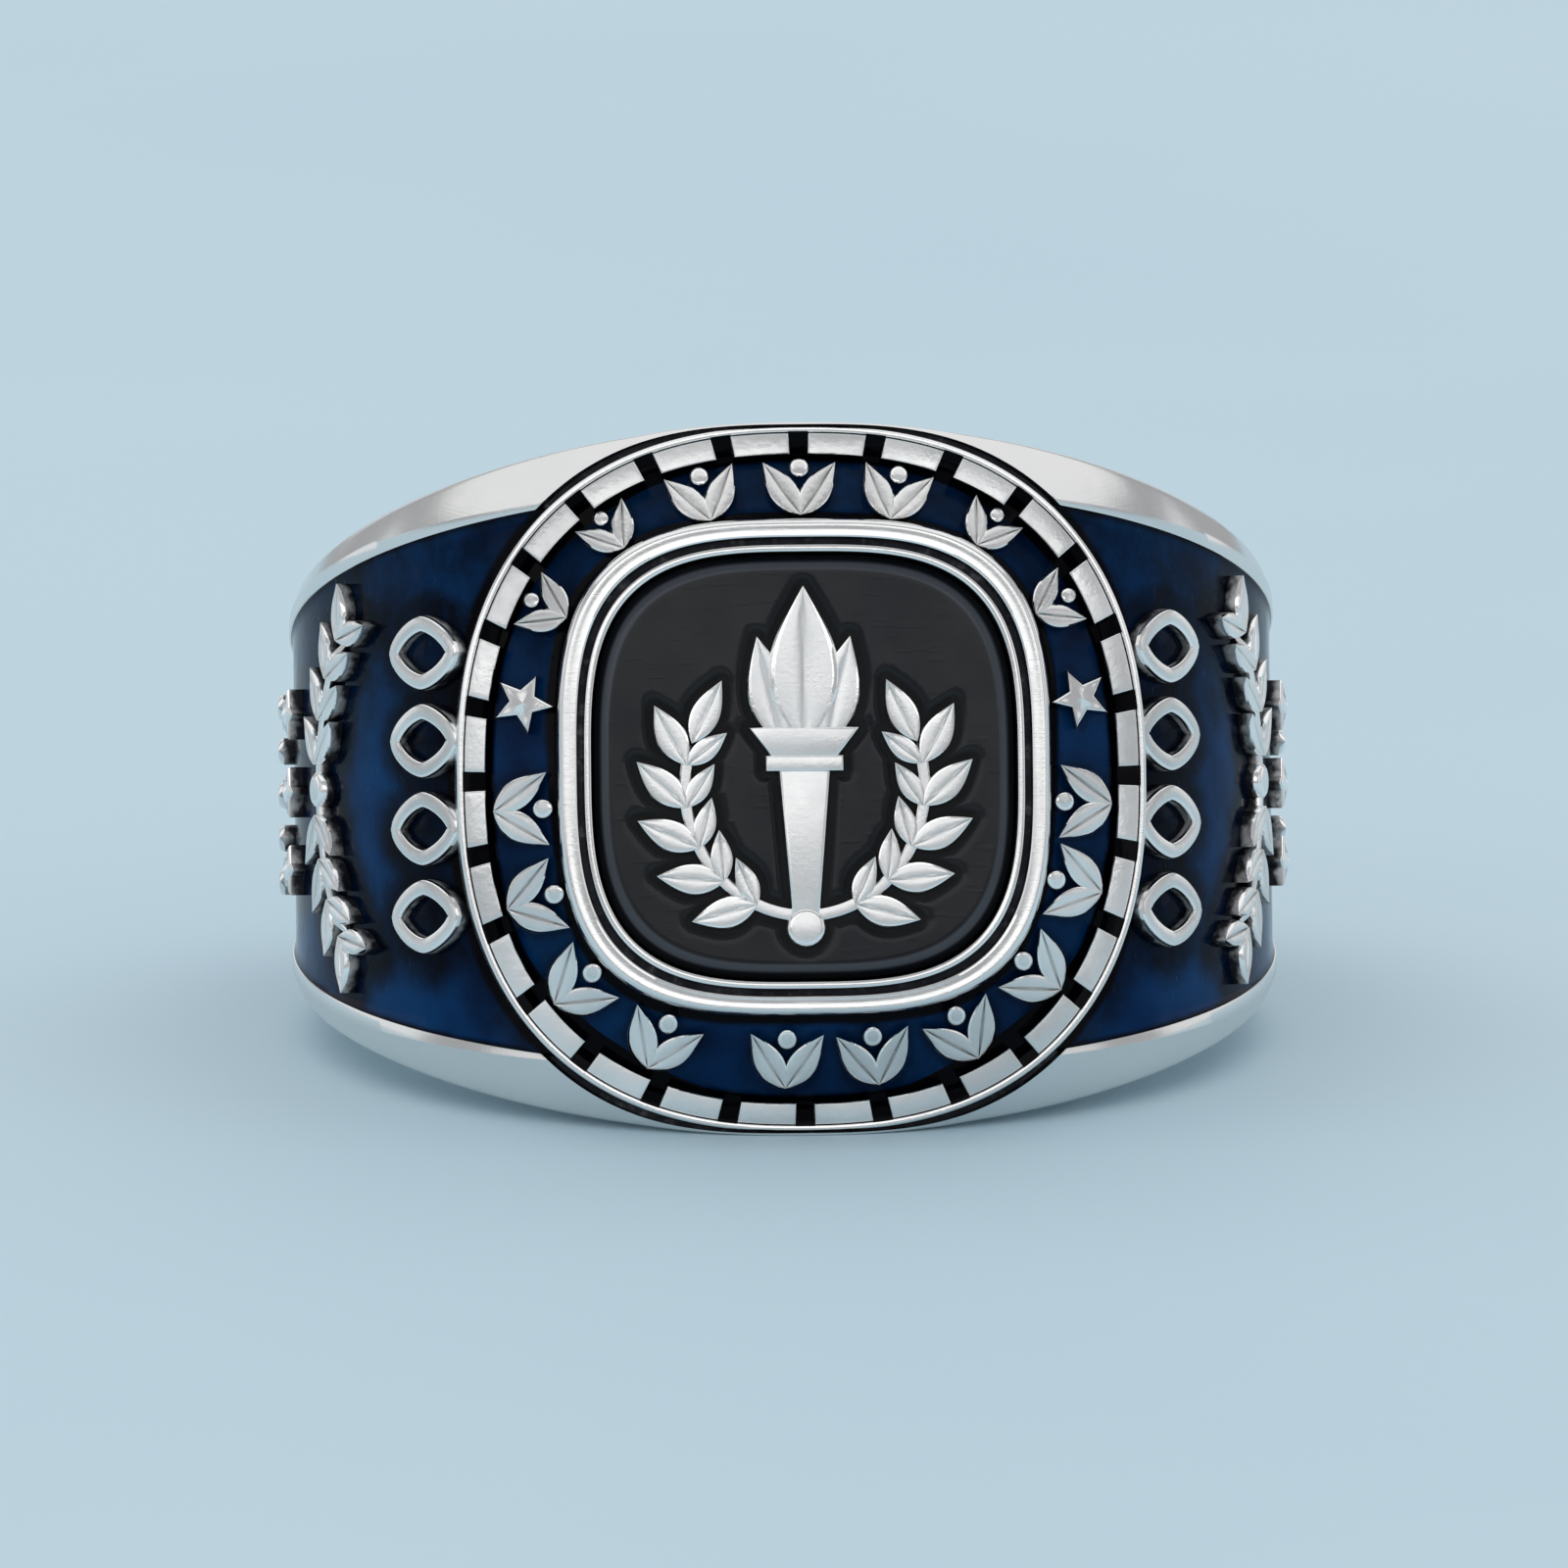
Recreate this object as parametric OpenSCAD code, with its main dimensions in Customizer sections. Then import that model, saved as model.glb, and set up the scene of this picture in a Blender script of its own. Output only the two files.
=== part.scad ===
// Class ring with a cushion top: a cast silver shank with a notched oval bezel,
// enamelled panels, a black tablet and an inlaid torch and laurel.
//
// Every solid is first drawn in the ring's own frame: the finger hole runs along Z
// and the face looks along -Y. The rest() module then lays the ring on its side.

/* [Finger hole and shank] */
// Radius of the finger hole (mm)
finger_r = 9.9; // [9.4:0.05:10.2]
// Thickness of the shank at the back
shank_wall = 1.7; // [1.4:0.05:2]
// How far the shank's own centre lies in front of the finger axis
shank_lead = 1.1; // [0.9:0.05:1.3]
// How much larger the ball that rounds the rails is than the shank's round
ball_swell = 0.8; // [0.7:0.01:0.9]
// How far the ball's centre lies in front of the shank's centre
ball_ahead = 1.4; // [1.3:0.01:1.5]
// Half height of the ring at the face
face_half = 9.02; // [8.8:0.02:9.1]
// Half height of the ring at the back
back_half = 3.05; // [2.7:0.05:3.4]
// Radius of the hollow sweep from face to back, seen from the side
sweep_r = 66; // [58:1:90]
// How far the back's rounding is drawn out behind a true ball
back_draw = 0.95; // [0.9:0.01:1.05]

/* [Side panels] */
// Half height of a panel level with the finger axis
panel_half = 3.82; // [3.6:0.02:3.9]
// Growth of that half height per mm towards the face
panel_taper = 0.255; // [0.24:0.005:0.26]
// How far behind the finger axis a panel ends
panel_back = 6.2; // [5:0.1:7]
// Depth of the panel floor under the shank's outside
panel_depth = 0.5; // [0.4:0.05:0.6]
// Depth of the enamel's surface under the shank's outside
enamel_dip = 0.1; // [0.05:0.01:0.2]
// Height of the cast relief over the shank's outside
relief_rise = 0.45; // [0.3:0.05:0.5]

/* [Oval bezel] */
// Half width of the oval
oval_half_w = 8.71; // [8.3:0.01:9.1]
// How far the oval's top stays inside the side edge
oval_lip = 0.1; // [0.08:0.01:0.2]
// How much fuller than an ellipse the oval is
oval_power = 2.42; // [2.2:0.02:2.6]
// Radial width of the notched border
border_w = 0.72; // [0.6:0.02:0.8]
// Radial width of the plain rim outside the notches
border_rim = 0.18; // [0.15:0.01:0.25]
// How far the border lies under the rail at the oval's top
border_dip = 0.05; // [0.02:0.01:0.1]
// Number of notches
notches = 28; // [24:1:32]
// Width of one notch
notch_w = 0.46; // [0.36:0.02:0.56]
// Depth of the notch floor under the band's lowest enamel
notch_bite = 0.31; // [0.28:0.01:0.34]

/* [Sloping band] */
// Width of the band beside the cushion frame, at the sides
band_w = 1.77; // [1.6:0.01:1.9]
// Mean width of the band above and below the cushion frame
band_h = 1.94; // [1.8:0.01:2.1]
// Mean depth of the enamel's outer edge under the border
band_dip = 0.27; // [0.22:0.01:0.32]
// Fall of the band per mm outwards
band_fall = 0.56; // [0.5:0.02:0.6]
// Thickness of the band's enamel
band_enamel = 0.35; // [0.3:0.05:0.4]
// Height of the cast relief over the band's enamel
band_rise = 0.42; // [0.3:0.02:0.5]

/* [Cushion frame] */
// How square the cushion is
frame_power = 3.2; // [2.8:0.1:3.6]
// Width of the polished outer rim
rim_w = 0.5; // [0.4:0.02:0.6]
// Width of the bevel on that rim
rim_bevel = 0.24; // [0.15:0.01:0.3]
// Width of the groove behind the rim
groove_w = 0.16; // [0.12:0.01:0.2]
// Width of the inner rim
inner_rim_w = 0.2; // [0.16:0.01:0.24]
// Height of the outer rim over the band's enamel beside it
rim_rise = 0.94; // [0.8:0.02:1]
// Height of the whole cushion above the middle of the oval
cushion_up = 0.26; // [0:0.01:0.3]

/* [Tablet and emblem] */
// Depth of the tablet's table under the outer rim
table_dip = 0.22; // [0.18:0.02:0.3]
// Thickness of the tablet
tablet_thick = 1.1; // [0.9:0.05:1.2]
// Width of the tablet's bevel
tablet_bevel = 0.4; // [0.3:0.02:0.5]
// Free space between the emblem and the tablet's bevel
emblem_space = 0.39; // [0.3:0.01:0.6]
// How far the emblem stands over the table
emblem_rise = 0.2; // [0.1:0.02:0.3]
// How deep the emblem is let in
emblem_sunk = 0.4; // [0.3:0.05:0.5]

/* [Panel motifs] */
// Half length of a lozenge, round the finger
lozenge_half_l = 1.25; // [1:0.05:1.3]
// Half width of a lozenge, along the finger
lozenge_half_w = 0.95; // [0.8:0.05:1.05]
// Free space between two lozenges
lozenge_space = 0.33; // [0.2:0.01:0.5]
// Width of a lozenge's raised edge
lozenge_edge = 0.42; // [0.35:0.01:0.46]
// Depth of the sunk middle of a lozenge
lozenge_sunk = 0.3; // [0.2:0.02:0.4]
// Way round the shank from the oval to the middle of the lozenges
lozenge_out = 0.89; // [0.8:0.01:1]
// Way round the shank from the lozenges to the laurel spray
spray_out = 3.92; // [3.8:0.02:4.1]
// Free space between the spray's tips and the panel's edge
spray_space = 0.24; // [0.15:0.01:0.4]
// Way round the shank from the laurel spray to the small stars
star_out = 3.66; // [3.5:0.02:3.8]
// Reach of a small star's points
star_r = 0.68; // [0.55:0.01:0.7]
// Distance between two small stars
star_pitch = 2; // [1.7:0.05:2.2]
// Way round the shank from the small stars to the grains
grain_out = 2.55; // [2.4:0.02:2.8]
// Length of a grain
grain_l = 1.5; // [1.2:0.05:1.6]
// Distance between two grains
grain_pitch = 1.12; // [1:0.02:1.2]

/* [Band motifs] */
// Height of a sprig where the band is wide
sprig_h = 1.46; // [1.3:0.02:1.5]
// Free space above and below a motif where the band is narrow
sprig_space = 0.1; // [0.08:0.01:0.2]
// Angle between two sprigs of the upper row
sprig_step = 18.6; // [18:0.1:19]

/* [Fits] */
// Clearance round enamel, tablet and emblem
fit = 0.03; // [0.02:0.01:0.04]

/* [Hidden] */
$fn = 96;

// Steps round an oval outline
oval_steps = 72;
// Length that safely passes through the whole ring
far = 30;
// How far relief and head reach down into the metal that carries them
root = 0.2;
// Rounded end of a panel window, along Y
panel_end = 2.2;
// Half width and height of the emblem's drawing
drawn = [41.3, 50];

// The shank's outside, and the ball that rounds the rails
shank_r = finger_r + shank_wall + shank_lead;
ball_r = shank_r + ball_swell;
ball_lead = shank_lead + ball_ahead;

// The front and back lower corners that the ring rests on
front_y = -ball_lead - sqrt(pow(ball_r, 2) - pow(face_half, 2));
back_ball_r = ball_r + back_draw;
back_y = -ball_lead + sqrt(pow(back_ball_r, 2) - pow(back_half + back_draw, 2));
corner_run = back_y - front_y;
corner_drop = face_half - back_half;
tilt = atan(corner_drop / corner_run);
corner_span = norm([corner_run, corner_drop]);
sweep_off = sqrt(pow(sweep_r, 2) - pow(corner_span / 2, 2));
sweep_y = (front_y + back_y) / 2 + sweep_off * sin(tilt);
sweep_z = (face_half + back_half) / 2 + sweep_off * cos(tilt);

// Radii round the shank's own centre
panel_floor_r = shank_r - panel_depth;
enamel_r = shank_r - enamel_dip;
relief_r = shank_r + relief_rise;

// Half widths and heights in the face
oval_half_h = face_half - oval_lip;
frame_half_w = oval_half_w - border_w - band_w;
frame_half_h = oval_half_h - border_w - band_h;
middle_half = (oval_half_w + oval_half_h) / 2 - border_w;

// Insets from the cushion frame's outside
inner_rim_in = rim_w + groove_w;
seat_in = inner_rim_in + inner_rim_w;
tablet_in = seat_in + 2 * fit;
table_in = tablet_in + tablet_bevel;

// Heights in the face over the finger axis
head_cut = finger_r + 0.6;
head_low = shank_lead + sqrt(pow(panel_floor_r, 2) - pow(oval_half_w, 2)) - root;
border_top = ball_lead + sqrt(pow(ball_r, 2) - pow(oval_half_h, 2)) - border_dip;
band_low = border_top - band_dip;
band_high = band_low + band_fall * (middle_half - frame_half_w);
notch_floor = min(border_top, band_low
    - band_fall * abs(oval_half_h - oval_half_w) / 2) - notch_bite;
rim_top = band_high + rim_rise;
head_over = rim_top + 1;
groove_floor = rim_top - 0.3;
inner_rim_top = rim_top - 0.06;
table_top = rim_top - table_dip;
seat_floor = table_top - tablet_thick - fit;
girdle_top = table_top - tablet_bevel / 2;

// Where the lying ring touches the floor, and the middle of its length
floor_drop = face_half * cos(tilt) + front_y * sin(tilt);
foot_front = -rim_top * cos(tilt) - frame_half_w * sin(tilt);
foot_back = back_y * cos(tilt) + back_half * sin(tilt);
foot_mid = (foot_front + foot_back) / 2;

// Angles of the panel motifs from the face
function round_angle(way) = way / shank_r * 180 / PI;
lozenge_angle = asin(oval_half_w / shank_r) + round_angle(lozenge_out);
spray_angle = lozenge_angle + round_angle(spray_out);
star_angle = spray_angle + round_angle(star_out);
grain_angle = star_angle + round_angle(grain_out);

// Reach of the laurel spray from its knot, the arch that it follows and its leaves
spray_half = panel_half + panel_taper * (shank_lead + shank_r * cos(spray_angle))
    - spray_space;
spray_r = 1.109 * spray_half;
spray_leaf = 0.277 * spray_half;

// Reach of the points of the band's stars
band_star_r = band_w / 2 - sprig_space;

// Size of the emblem against its drawing
emblem_scale = min((frame_half_w - table_in - emblem_space) / drawn[0],
    (frame_half_h - table_in - emblem_space) / drawn[1]);

// Clockwise angles from the top of the face, one for each band motif
upper_angles = [for (i = [-3:3]) i * sprig_step];
lower_angles = [95.5, 112, 130, 148, 166, 184, 209, 228, 246, 264];
star_angles = [-74.5, 74.5];

// Radius of an oval at an angle clockwise from the top
function oval_reach(a, w, h, power) =
    1 / pow(pow(abs(sin(a)) / w, power) + pow(abs(cos(a)) / h, power), 1 / power);

// Outline of an oval, w and h being half widths
function oval_points(w, h, power) =
    [for (i = [0:oval_steps - 1])
        let (a = 360 * i / oval_steps, r = oval_reach(a, w, h, power))
        [-r * sin(a), r * cos(a)]];

// Outline of a pointed leaf that grows along +Y
function leaf_points(long, wide, steps = 5) =
    concat(
        [for (i = [0:steps]) [wide / 2 * sin(180 * pow(i / steps, 0.85)), long * i / steps]],
        [for (i = [steps - 1:-1:1]) [-wide / 2 * sin(180 * pow(i / steps, 0.85)), long * i / steps]]);

// Outline of a five-pointed star with one point along +Y
function star_points(r) =
    [for (i = [0:9])
        let (a = 36 * i, reach = i % 2 == 0 ? r : 0.44 * r)
        [-reach * sin(a), reach * cos(a)]];

// Half height of a panel, seen from the side, at a place along Y
function panel_edge(y) = panel_half - panel_taper * y;

// Inner edge of the notched border, and outer edge of the cushion frame
function border_reach(a) =
    oval_reach(a, oval_half_w - border_w, oval_half_h - border_w, oval_power);
function frame_reach(a) =
    oval_reach(a, frame_half_w, frame_half_h, frame_power) + cushion_up * cos(a);

// Middle of the band, and how much its sprigs shrink where it is narrow
function band_reach(a) = (border_reach(a) + frame_reach(a)) / 2;
function sprig_tall(a) = min(sprig_h, border_reach(a) - frame_reach(a) - 2 * sprig_space);

// Clockwise angle that a motif turns to, so that it stands square to the border
function band_turn(a) =
    let (across = abs(sin(a)) / oval_half_w, up = abs(cos(a)) / oval_half_h)
    atan2(sign(sin(a)) * pow(across, oval_power - 1) / oval_half_w,
        sign(cos(a)) * pow(up, oval_power - 1) / oval_half_h);

// Lays the ring on its side on the floor, as it settles by itself.
module rest() {
    translate([0, -foot_mid, floor_drop])
        rotate([-tilt, 0, 0])
            children();
}

// Turns drawings on the XY plane towards the face, their Z being the height
// over the finger axis.
module facing() {
    rotate([90, 0, 0])
        children();
}

// Places a drawing on the right panel at an angle from the face.
module on_panel(angle) {
    translate([0, -shank_lead, 0])
        rotate([0, 0, angle])
            rotate([90, 0, 0])
                translate([0, 0, panel_floor_r - 2 * root])
                    linear_extrude(height = 2 * relief_rise + 2 * root + panel_depth)
                        children();
}

module oval(inset = 0) {
    polygon(oval_points(oval_half_w - inset, oval_half_h - inset, oval_power));
}

module cushion(inset = 0) {
    translate([0, cushion_up])
        polygon(oval_points(frame_half_w - inset, frame_half_h - inset, frame_power));
}

module leaf(long, wide) {
    polygon(leaf_points(long, wide));
}

// A plate from a drawing, between two heights over the finger axis.
module plate(low, high) {
    translate([0, 0, low])
        linear_extrude(height = high - low)
            children();
}

// The space under the band's slope, lowered or raised by a rise.
module under_slope(rise) {
    middle = band_high + band_fall * frame_half_w + rise;
    outer = max(oval_half_w, oval_half_h) + border_w;
    rotate_extrude()
        polygon([
            [0, head_low],
            [outer, head_low],
            [outer, max(head_low + fit, middle - band_fall * outer)],
            [0, middle]
        ]);
}

// A wall round the shank's own centre.
module round_wall(inner, outer) {
    translate([0, -shank_lead, -far / 2])
        difference() {
            cylinder(r = outer, h = far);
            translate([0, 0, -1])
                cylinder(r = inner, h = far + 2);
        }
}

// The right panel's window seen along X, drawn in or out by a margin.
module panel_window(margin = 0) {
    front = -far / 2;
    turn_y = panel_back - panel_end;
    edge = panel_edge(turn_y) - margin;
    translate([shank_r / 2, 0, 0])
        rotate([90, 0, 90])
            linear_extrude(height = shank_r)
                polygon(concat(
                    [[front, -panel_edge(front) + margin]],
                    [for (i = [-6:6])
                        [turn_y + (panel_end - margin) * cos(15 * i), edge * sin(15 * i)]],
                    [[front, panel_edge(front) - margin]]));
}

// A column of four lozenges, next to the bezel.
module lozenges(inset = 0) {
    pitch = 2 * lozenge_half_w + lozenge_space;
    for (i = [-1.5:1.5])
        translate([0, i * pitch])
            polygon(oval_points(lozenge_half_l - inset, lozenge_half_w - inset, 1.5));
}

// Laurel branches that part from a knot, on an arch.
module arch_spray() {
    stem_w = 0.2 * spray_leaf;
    leaf_w = 0.46 * spray_leaf;
    leaf_step = 0.8 * spray_leaf / spray_r * 180 / PI;
    translate([0.75 * spray_leaf - spray_r, 0]) {
        difference() {
            circle(r = spray_r + stem_w / 2);
            circle(r = spray_r - stem_w / 2);
            translate([spray_r * (cos(3.6 * leaf_step) - 2), -2 * spray_r])
                square([2 * spray_r, 4 * spray_r]);
        }
        translate([spray_r, 0])
            circle(r = spray_leaf / 3);
        for (side = [0, 1], step = [1:4])
            mirror([0, side])
                rotate((step - 0.45) * leaf_step)
                    translate([spray_r, 0]) {
                        rotate(-36)
                            leaf(spray_leaf, leaf_w);
                        rotate(36)
                            leaf(spray_leaf, leaf_w);
                    }
    }
}

// The drawings on the right panel, as prisms that pass through the relief.
module panel_prisms(grow = 0) {
    on_panel(lozenge_angle)
        offset(delta = grow)
            lozenges();
    on_panel(spray_angle)
        offset(delta = grow)
            arch_spray();
    on_panel(star_angle)
        offset(delta = grow)
            for (i = [-1:1])
                translate([0, star_pitch * i])
                    rotate(90)
                        polygon(star_points(star_r));
    on_panel(grain_angle)
        offset(delta = grow)
            for (i = [-2:2])
                translate([-grain_l / 2, grain_pitch * i])
                    rotate(-90)
                        leaf(grain_l, 0.46 * grain_l);
}

// Cast relief of the right panel, cut to the round of the shank.
module panel_relief() {
    difference() {
        intersection() {
            round_wall(panel_floor_r - root, relief_r);
            panel_prisms();
        }
        intersection() {
            round_wall(relief_r - lozenge_sunk, relief_r + 1);
            on_panel(lozenge_angle)
                lozenges(lozenge_edge);
        }
    }
}

// One sprig for the band: a pair of leaves with a berry between them.
module sprig(tall) {
    translate([0, -tall / 2]) {
        for (side = [-1, 1])
            rotate(-34 * side)
                leaf(1.12 * tall, 0.52 * tall);
        translate([0, 0.84 * tall])
            circle(r = 0.16 * tall, $fn = 10);
    }
}

// Places a drawing on the middle of the band, its top outwards.
module on_band(a) {
    translate(band_reach(a) * [sin(a), cos(a)])
        rotate(-band_turn(a))
            children();
}

// All drawings of the band, seen from the front.
module band_drawing() {
    for (a = upper_angles)
        on_band(a)
            sprig(sprig_tall(a));
    for (a = lower_angles)
        on_band(a)
            rotate(180)
                sprig(sprig_tall(a));
    for (a = star_angles)
        on_band(a)
            rotate(180)
                polygon(star_points(band_star_r));
}

module notch_drawing(grow = 0) {
    difference() {
        intersection() {
            oval(border_rim - grow);
            for (i = [0:notches - 1])
                rotate(360 * i / notches)
                    translate([-notch_w / 2 - grow, oval_half_w / 2])
                        square([notch_w + 2 * grow, oval_half_w]);
        }
        oval(border_w + root);
    }
}

// Notched border, sloping band and cushion frame, all cast with the shank.
module head() {
    facing() {
        difference() {
            plate(head_low, border_top)
                oval();
            plate(head_cut, head_over)
                oval(border_w);
            plate(notch_floor, head_over)
                notch_drawing();
        }
        intersection() {
            under_slope(-band_enamel - fit);
            plate(head_low, head_over)
                difference() {
                    oval(border_w / 2);
                    cushion(root);
                }
        }
        intersection() {
            under_slope(band_rise);
            plate(head_cut, head_over)
                band_drawing();
        }
        frame();
    }
}

module frame() {
    difference() {
        union() {
            plate(head_low, rim_top - rim_bevel)
                cushion();
            hull() {
                plate(rim_top - rim_bevel - 0.05, rim_top - rim_bevel)
                    cushion();
                plate(rim_top - 0.01, rim_top)
                    cushion(rim_bevel);
            }
        }
        plate(groove_floor, head_over)
            cushion(rim_w);
        plate(seat_floor, head_over)
            cushion(seat_in);
    }
    difference() {
        plate(groove_floor - root, inner_rim_top)
            cushion(inner_rim_in);
        plate(groove_floor - 2 * root, head_over)
            cushion(seat_in);
    }
}

// The rounded form that both rails follow.
module rail_form() {
    translate([0, -ball_lead, 0]) {
        intersection() {
            sphere(r = ball_r);
            translate([-far / 2, -far, -far / 2])
                cube([far, far, far]);
        }
        rotate([-90, 0, 0])
            rotate_extrude()
                intersection() {
                    translate([-back_draw, 0])
                        circle(r = back_ball_r);
                    square([far, far]);
                }
    }
}

module sweeps() {
    for (side = [-1, 1])
        translate([-far / 2, sweep_y, side * sweep_z])
            rotate([0, 90, 0])
                cylinder(r = sweep_r, h = far, $fn = 360);
}

module band_body() {
    difference() {
        intersection() {
            translate([0, -shank_lead, -far / 2])
                cylinder(r = shank_r, h = far);
            rail_form();
        }
        facing()
            plate(head_cut, far)
                oval(root / 2);
        for (side = [0, 1])
            mirror([side, 0, 0])
                intersection() {
                    round_wall(panel_floor_r, shank_r + 1);
                    panel_window();
                }
    }
}

module shank() {
    color("silver")
        rest()
            difference() {
                union() {
                    band_body();
                    head();
                    for (side = [0, 1])
                        mirror([side, 0, 0])
                            panel_relief();
                }
                sweeps();
                translate([0, 0, -far / 2])
                    cylinder(r = finger_r, h = far);
            }
}

module band_enamel() {
    color("midnightblue")
        rest()
            facing()
                difference() {
                    union() {
                        intersection() {
                            under_slope(0);
                            plate(head_cut, head_over)
                                oval(border_w + fit);
                        }
                        plate(notch_floor + fit, border_top - band_enamel / 2)
                            notch_drawing(-fit);
                    }
                    under_slope(-band_enamel);
                    plate(finger_r, head_over)
                        cushion(-fit);
                    plate(finger_r, head_over)
                        offset(delta = fit)
                            band_drawing();
                }
}

module panel_enamel() {
    difference() {
        intersection() {
            round_wall(panel_floor_r + fit, enamel_r);
            panel_window(fit);
        }
        panel_prisms(fit);
        facing()
            plate(head_cut / 2, head_over)
                oval(-fit);
    }
}

module left_enamel() {
    color("navy")
        rest()
            mirror([1, 0, 0])
                panel_enamel();
}

module right_enamel() {
    color("navy")
        rest()
            panel_enamel();
}

// Flat torch between two laurel branches, drawn about its own middle in hundredths
// of its height.
module emblem_drawing() {
    scale([emblem_scale, emblem_scale]) {
        polygon([[-3.7, -44], [3.7, -44], [7.3, -0.5], [-7.3, -0.5]]);
        translate([0, -44.5])
            circle(r = 5.5, $fn = 12);
        translate([-10.8, -1.3])
            square([21.6, 4.4]);
        polygon([[-8.8, 2.2], [8.8, 2.2], [15.6, 11], [-15.6, 11]]);
        translate([0, 6.6])
            leaf(43.4, 19.8);
        for (side = [-1, 1])
            translate([6 * side, 6])
                rotate(-13 * side)
                    leaf(30.8, 12.6);
        for (side = [0, 1])
            mirror([side, 0])
                laurel_branch();
    }
}

function laurel_at(u) = [33.2 * sin(u), -5.5 - 35.7 * cos(u)];

module laurel_branch() {
    half_stem = 0.05;
    last = 116;
    polygon(concat(
        [for (u = [-4:8:last]) laurel_at(u) * (1 + half_stem)],
        [for (u = [last:-8:-4]) laurel_at(u) * (1 - half_stem)]));
    for (u = [24:19:100])
        translate(laurel_at(u))
            rotate(u - 90) {
                rotate(-38)
                    leaf(18.7, 8.8);
                rotate(42)
                    leaf(14.3, 6.4);
            }
    translate(laurel_at(last - 6))
        rotate(last - 90)
            leaf(19.2, 8.4);
}

module tablet() {
    color("black")
        rest()
            facing()
                difference() {
                    union() {
                        plate(table_top - tablet_thick, girdle_top)
                            cushion(tablet_in);
                        hull() {
                            plate(girdle_top - 0.05, girdle_top)
                                cushion(tablet_in);
                            plate(table_top - 0.01, table_top)
                                cushion(table_in);
                        }
                    }
                    plate(table_top - emblem_sunk - fit, head_over)
                        translate([0, cushion_up])
                            offset(delta = fit)
                                emblem_drawing();
                }
}

module emblem() {
    color("gainsboro")
        rest()
            facing()
                plate(table_top - emblem_sunk, table_top + emblem_rise)
                    translate([0, cushion_up])
                        emblem_drawing();
}

shank();
band_enamel();
left_enamel();
right_enamel();
tablet();
emblem();
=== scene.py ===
"""Dresses the class ring: mirror-polished rails, cast relief with dark recesses,
glazed enamel, a black tablet and a flat inlaid emblem.

Every piece is first built in millimetres in the ring's own frame: the finger hole
runs along Z and the face looks along -Y. Seat.matrix() then lays it on its side.
Heights on the face count from the finger hole's axis. Angles round the face run
clockwise from its top, and angles round the shank start at the middle of the face.
"""

import logging
import math
from collections.abc import Callable, Iterable, Sequence
from dataclasses import dataclass, field
from enum import Enum, IntEnum

import bmesh
import bpy
from mathutils import Matrix, Vector
from mathutils.kdtree import KDTree

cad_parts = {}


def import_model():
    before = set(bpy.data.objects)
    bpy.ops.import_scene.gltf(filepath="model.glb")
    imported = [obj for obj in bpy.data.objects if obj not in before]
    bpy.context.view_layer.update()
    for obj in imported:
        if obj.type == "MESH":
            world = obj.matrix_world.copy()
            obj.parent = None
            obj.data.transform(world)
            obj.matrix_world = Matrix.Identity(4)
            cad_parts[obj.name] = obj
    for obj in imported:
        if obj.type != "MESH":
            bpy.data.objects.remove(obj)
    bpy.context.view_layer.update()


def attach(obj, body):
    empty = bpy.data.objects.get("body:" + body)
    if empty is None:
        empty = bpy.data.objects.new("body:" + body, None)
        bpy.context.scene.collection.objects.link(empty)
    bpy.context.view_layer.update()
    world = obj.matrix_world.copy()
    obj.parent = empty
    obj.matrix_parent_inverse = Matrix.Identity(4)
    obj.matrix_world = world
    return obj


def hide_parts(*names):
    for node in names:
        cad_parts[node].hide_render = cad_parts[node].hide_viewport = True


log = logging.getLogger("class_ring")

Colour = tuple[float, float, float]
Piece = bpy.types.Object
Material = bpy.types.Material
Socket = bpy.types.NodeSocket
Vert = bmesh.types.BMVert
Geom = Vert | bmesh.types.BMEdge | bmesh.types.BMFace
Bend = Callable[[Vector], Vector]
Line = Callable[[float], tuple[Vector, Vector]]
Corner = tuple[float, float, int]

MM = 0.001
TURN = 2 * math.pi
# Steps of a search, a radius inside every part of the shank, and a gap that counts as none.
HALVINGS = 26
CORE_R = 5.0
HAIR = 1e-6


class Hand(IntEnum):
    """Which side of the ring, as a sign along X."""

    LEFT = -1
    RIGHT = 1


class Layer(IntEnum):
    """Material slots of a cast relief."""

    TOP = 0
    EDGE = 1
    WALL = 2


class Zone(IntEnum):
    """Material slots of the shank's body."""

    RAIL = 0
    INSIDE = 1
    RECESS = 2


class Coat(IntEnum):
    """Material slots of the drum and of the cushion frame."""

    POLISH = 0
    DARK = 1


class Row(Enum):
    """The two rows of motifs on the band, by the turn of their tops in degrees."""

    OUTWARDS = 0
    INWARDS = 180


def bisect(passes: float, fails: float, test: Callable[[float], bool]) -> tuple[float, float]:
    """Closes in on the place where a test turns from true to false.

    Args:
        passes: A value that passes the test.
        fails: A value that fails it.
        test: The test.

    Returns:
        The last value that passed and the last one that failed.
    """
    for _ in range(HALVINGS):
        middle = (passes + fails) / 2
        if test(middle):
            passes = middle
        else:
            fails = middle
    return passes, fails


def fade(gap: float, full: float, none: float) -> float:
    """1 up to one distance, and smoothly down to 0 at another."""
    share = min(1.0, max(0.0, (none - gap) / (none - full)))
    return share * share * (3 - 2 * share)


def flat(x: float = 0.0, y: float = 0.0, turn: float = 0.0) -> Matrix:
    """A place on a drawing: a shift, after a turn in degrees about its own origin."""
    return Matrix.Translation((x, y, 0)) @ Matrix.Rotation(math.radians(turn), 4, "Z")


def star_outline(r: float, waist: float = 0.44) -> list[tuple[float, float]]:
    """Draws a five-pointed star with one point along +Y.

    Args:
        r: Radius of its points.
        waist: Radius of its inner corners, as a share of the other.

    Returns:
        Its ten corners, counterclockwise.
    """
    corners = []
    for k in range(10):
        angle, reach = math.radians(36 * k), r if k % 2 == 0 else waist * r
        corners.append((-reach * math.sin(angle), reach * math.cos(angle)))
    return corners


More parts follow.
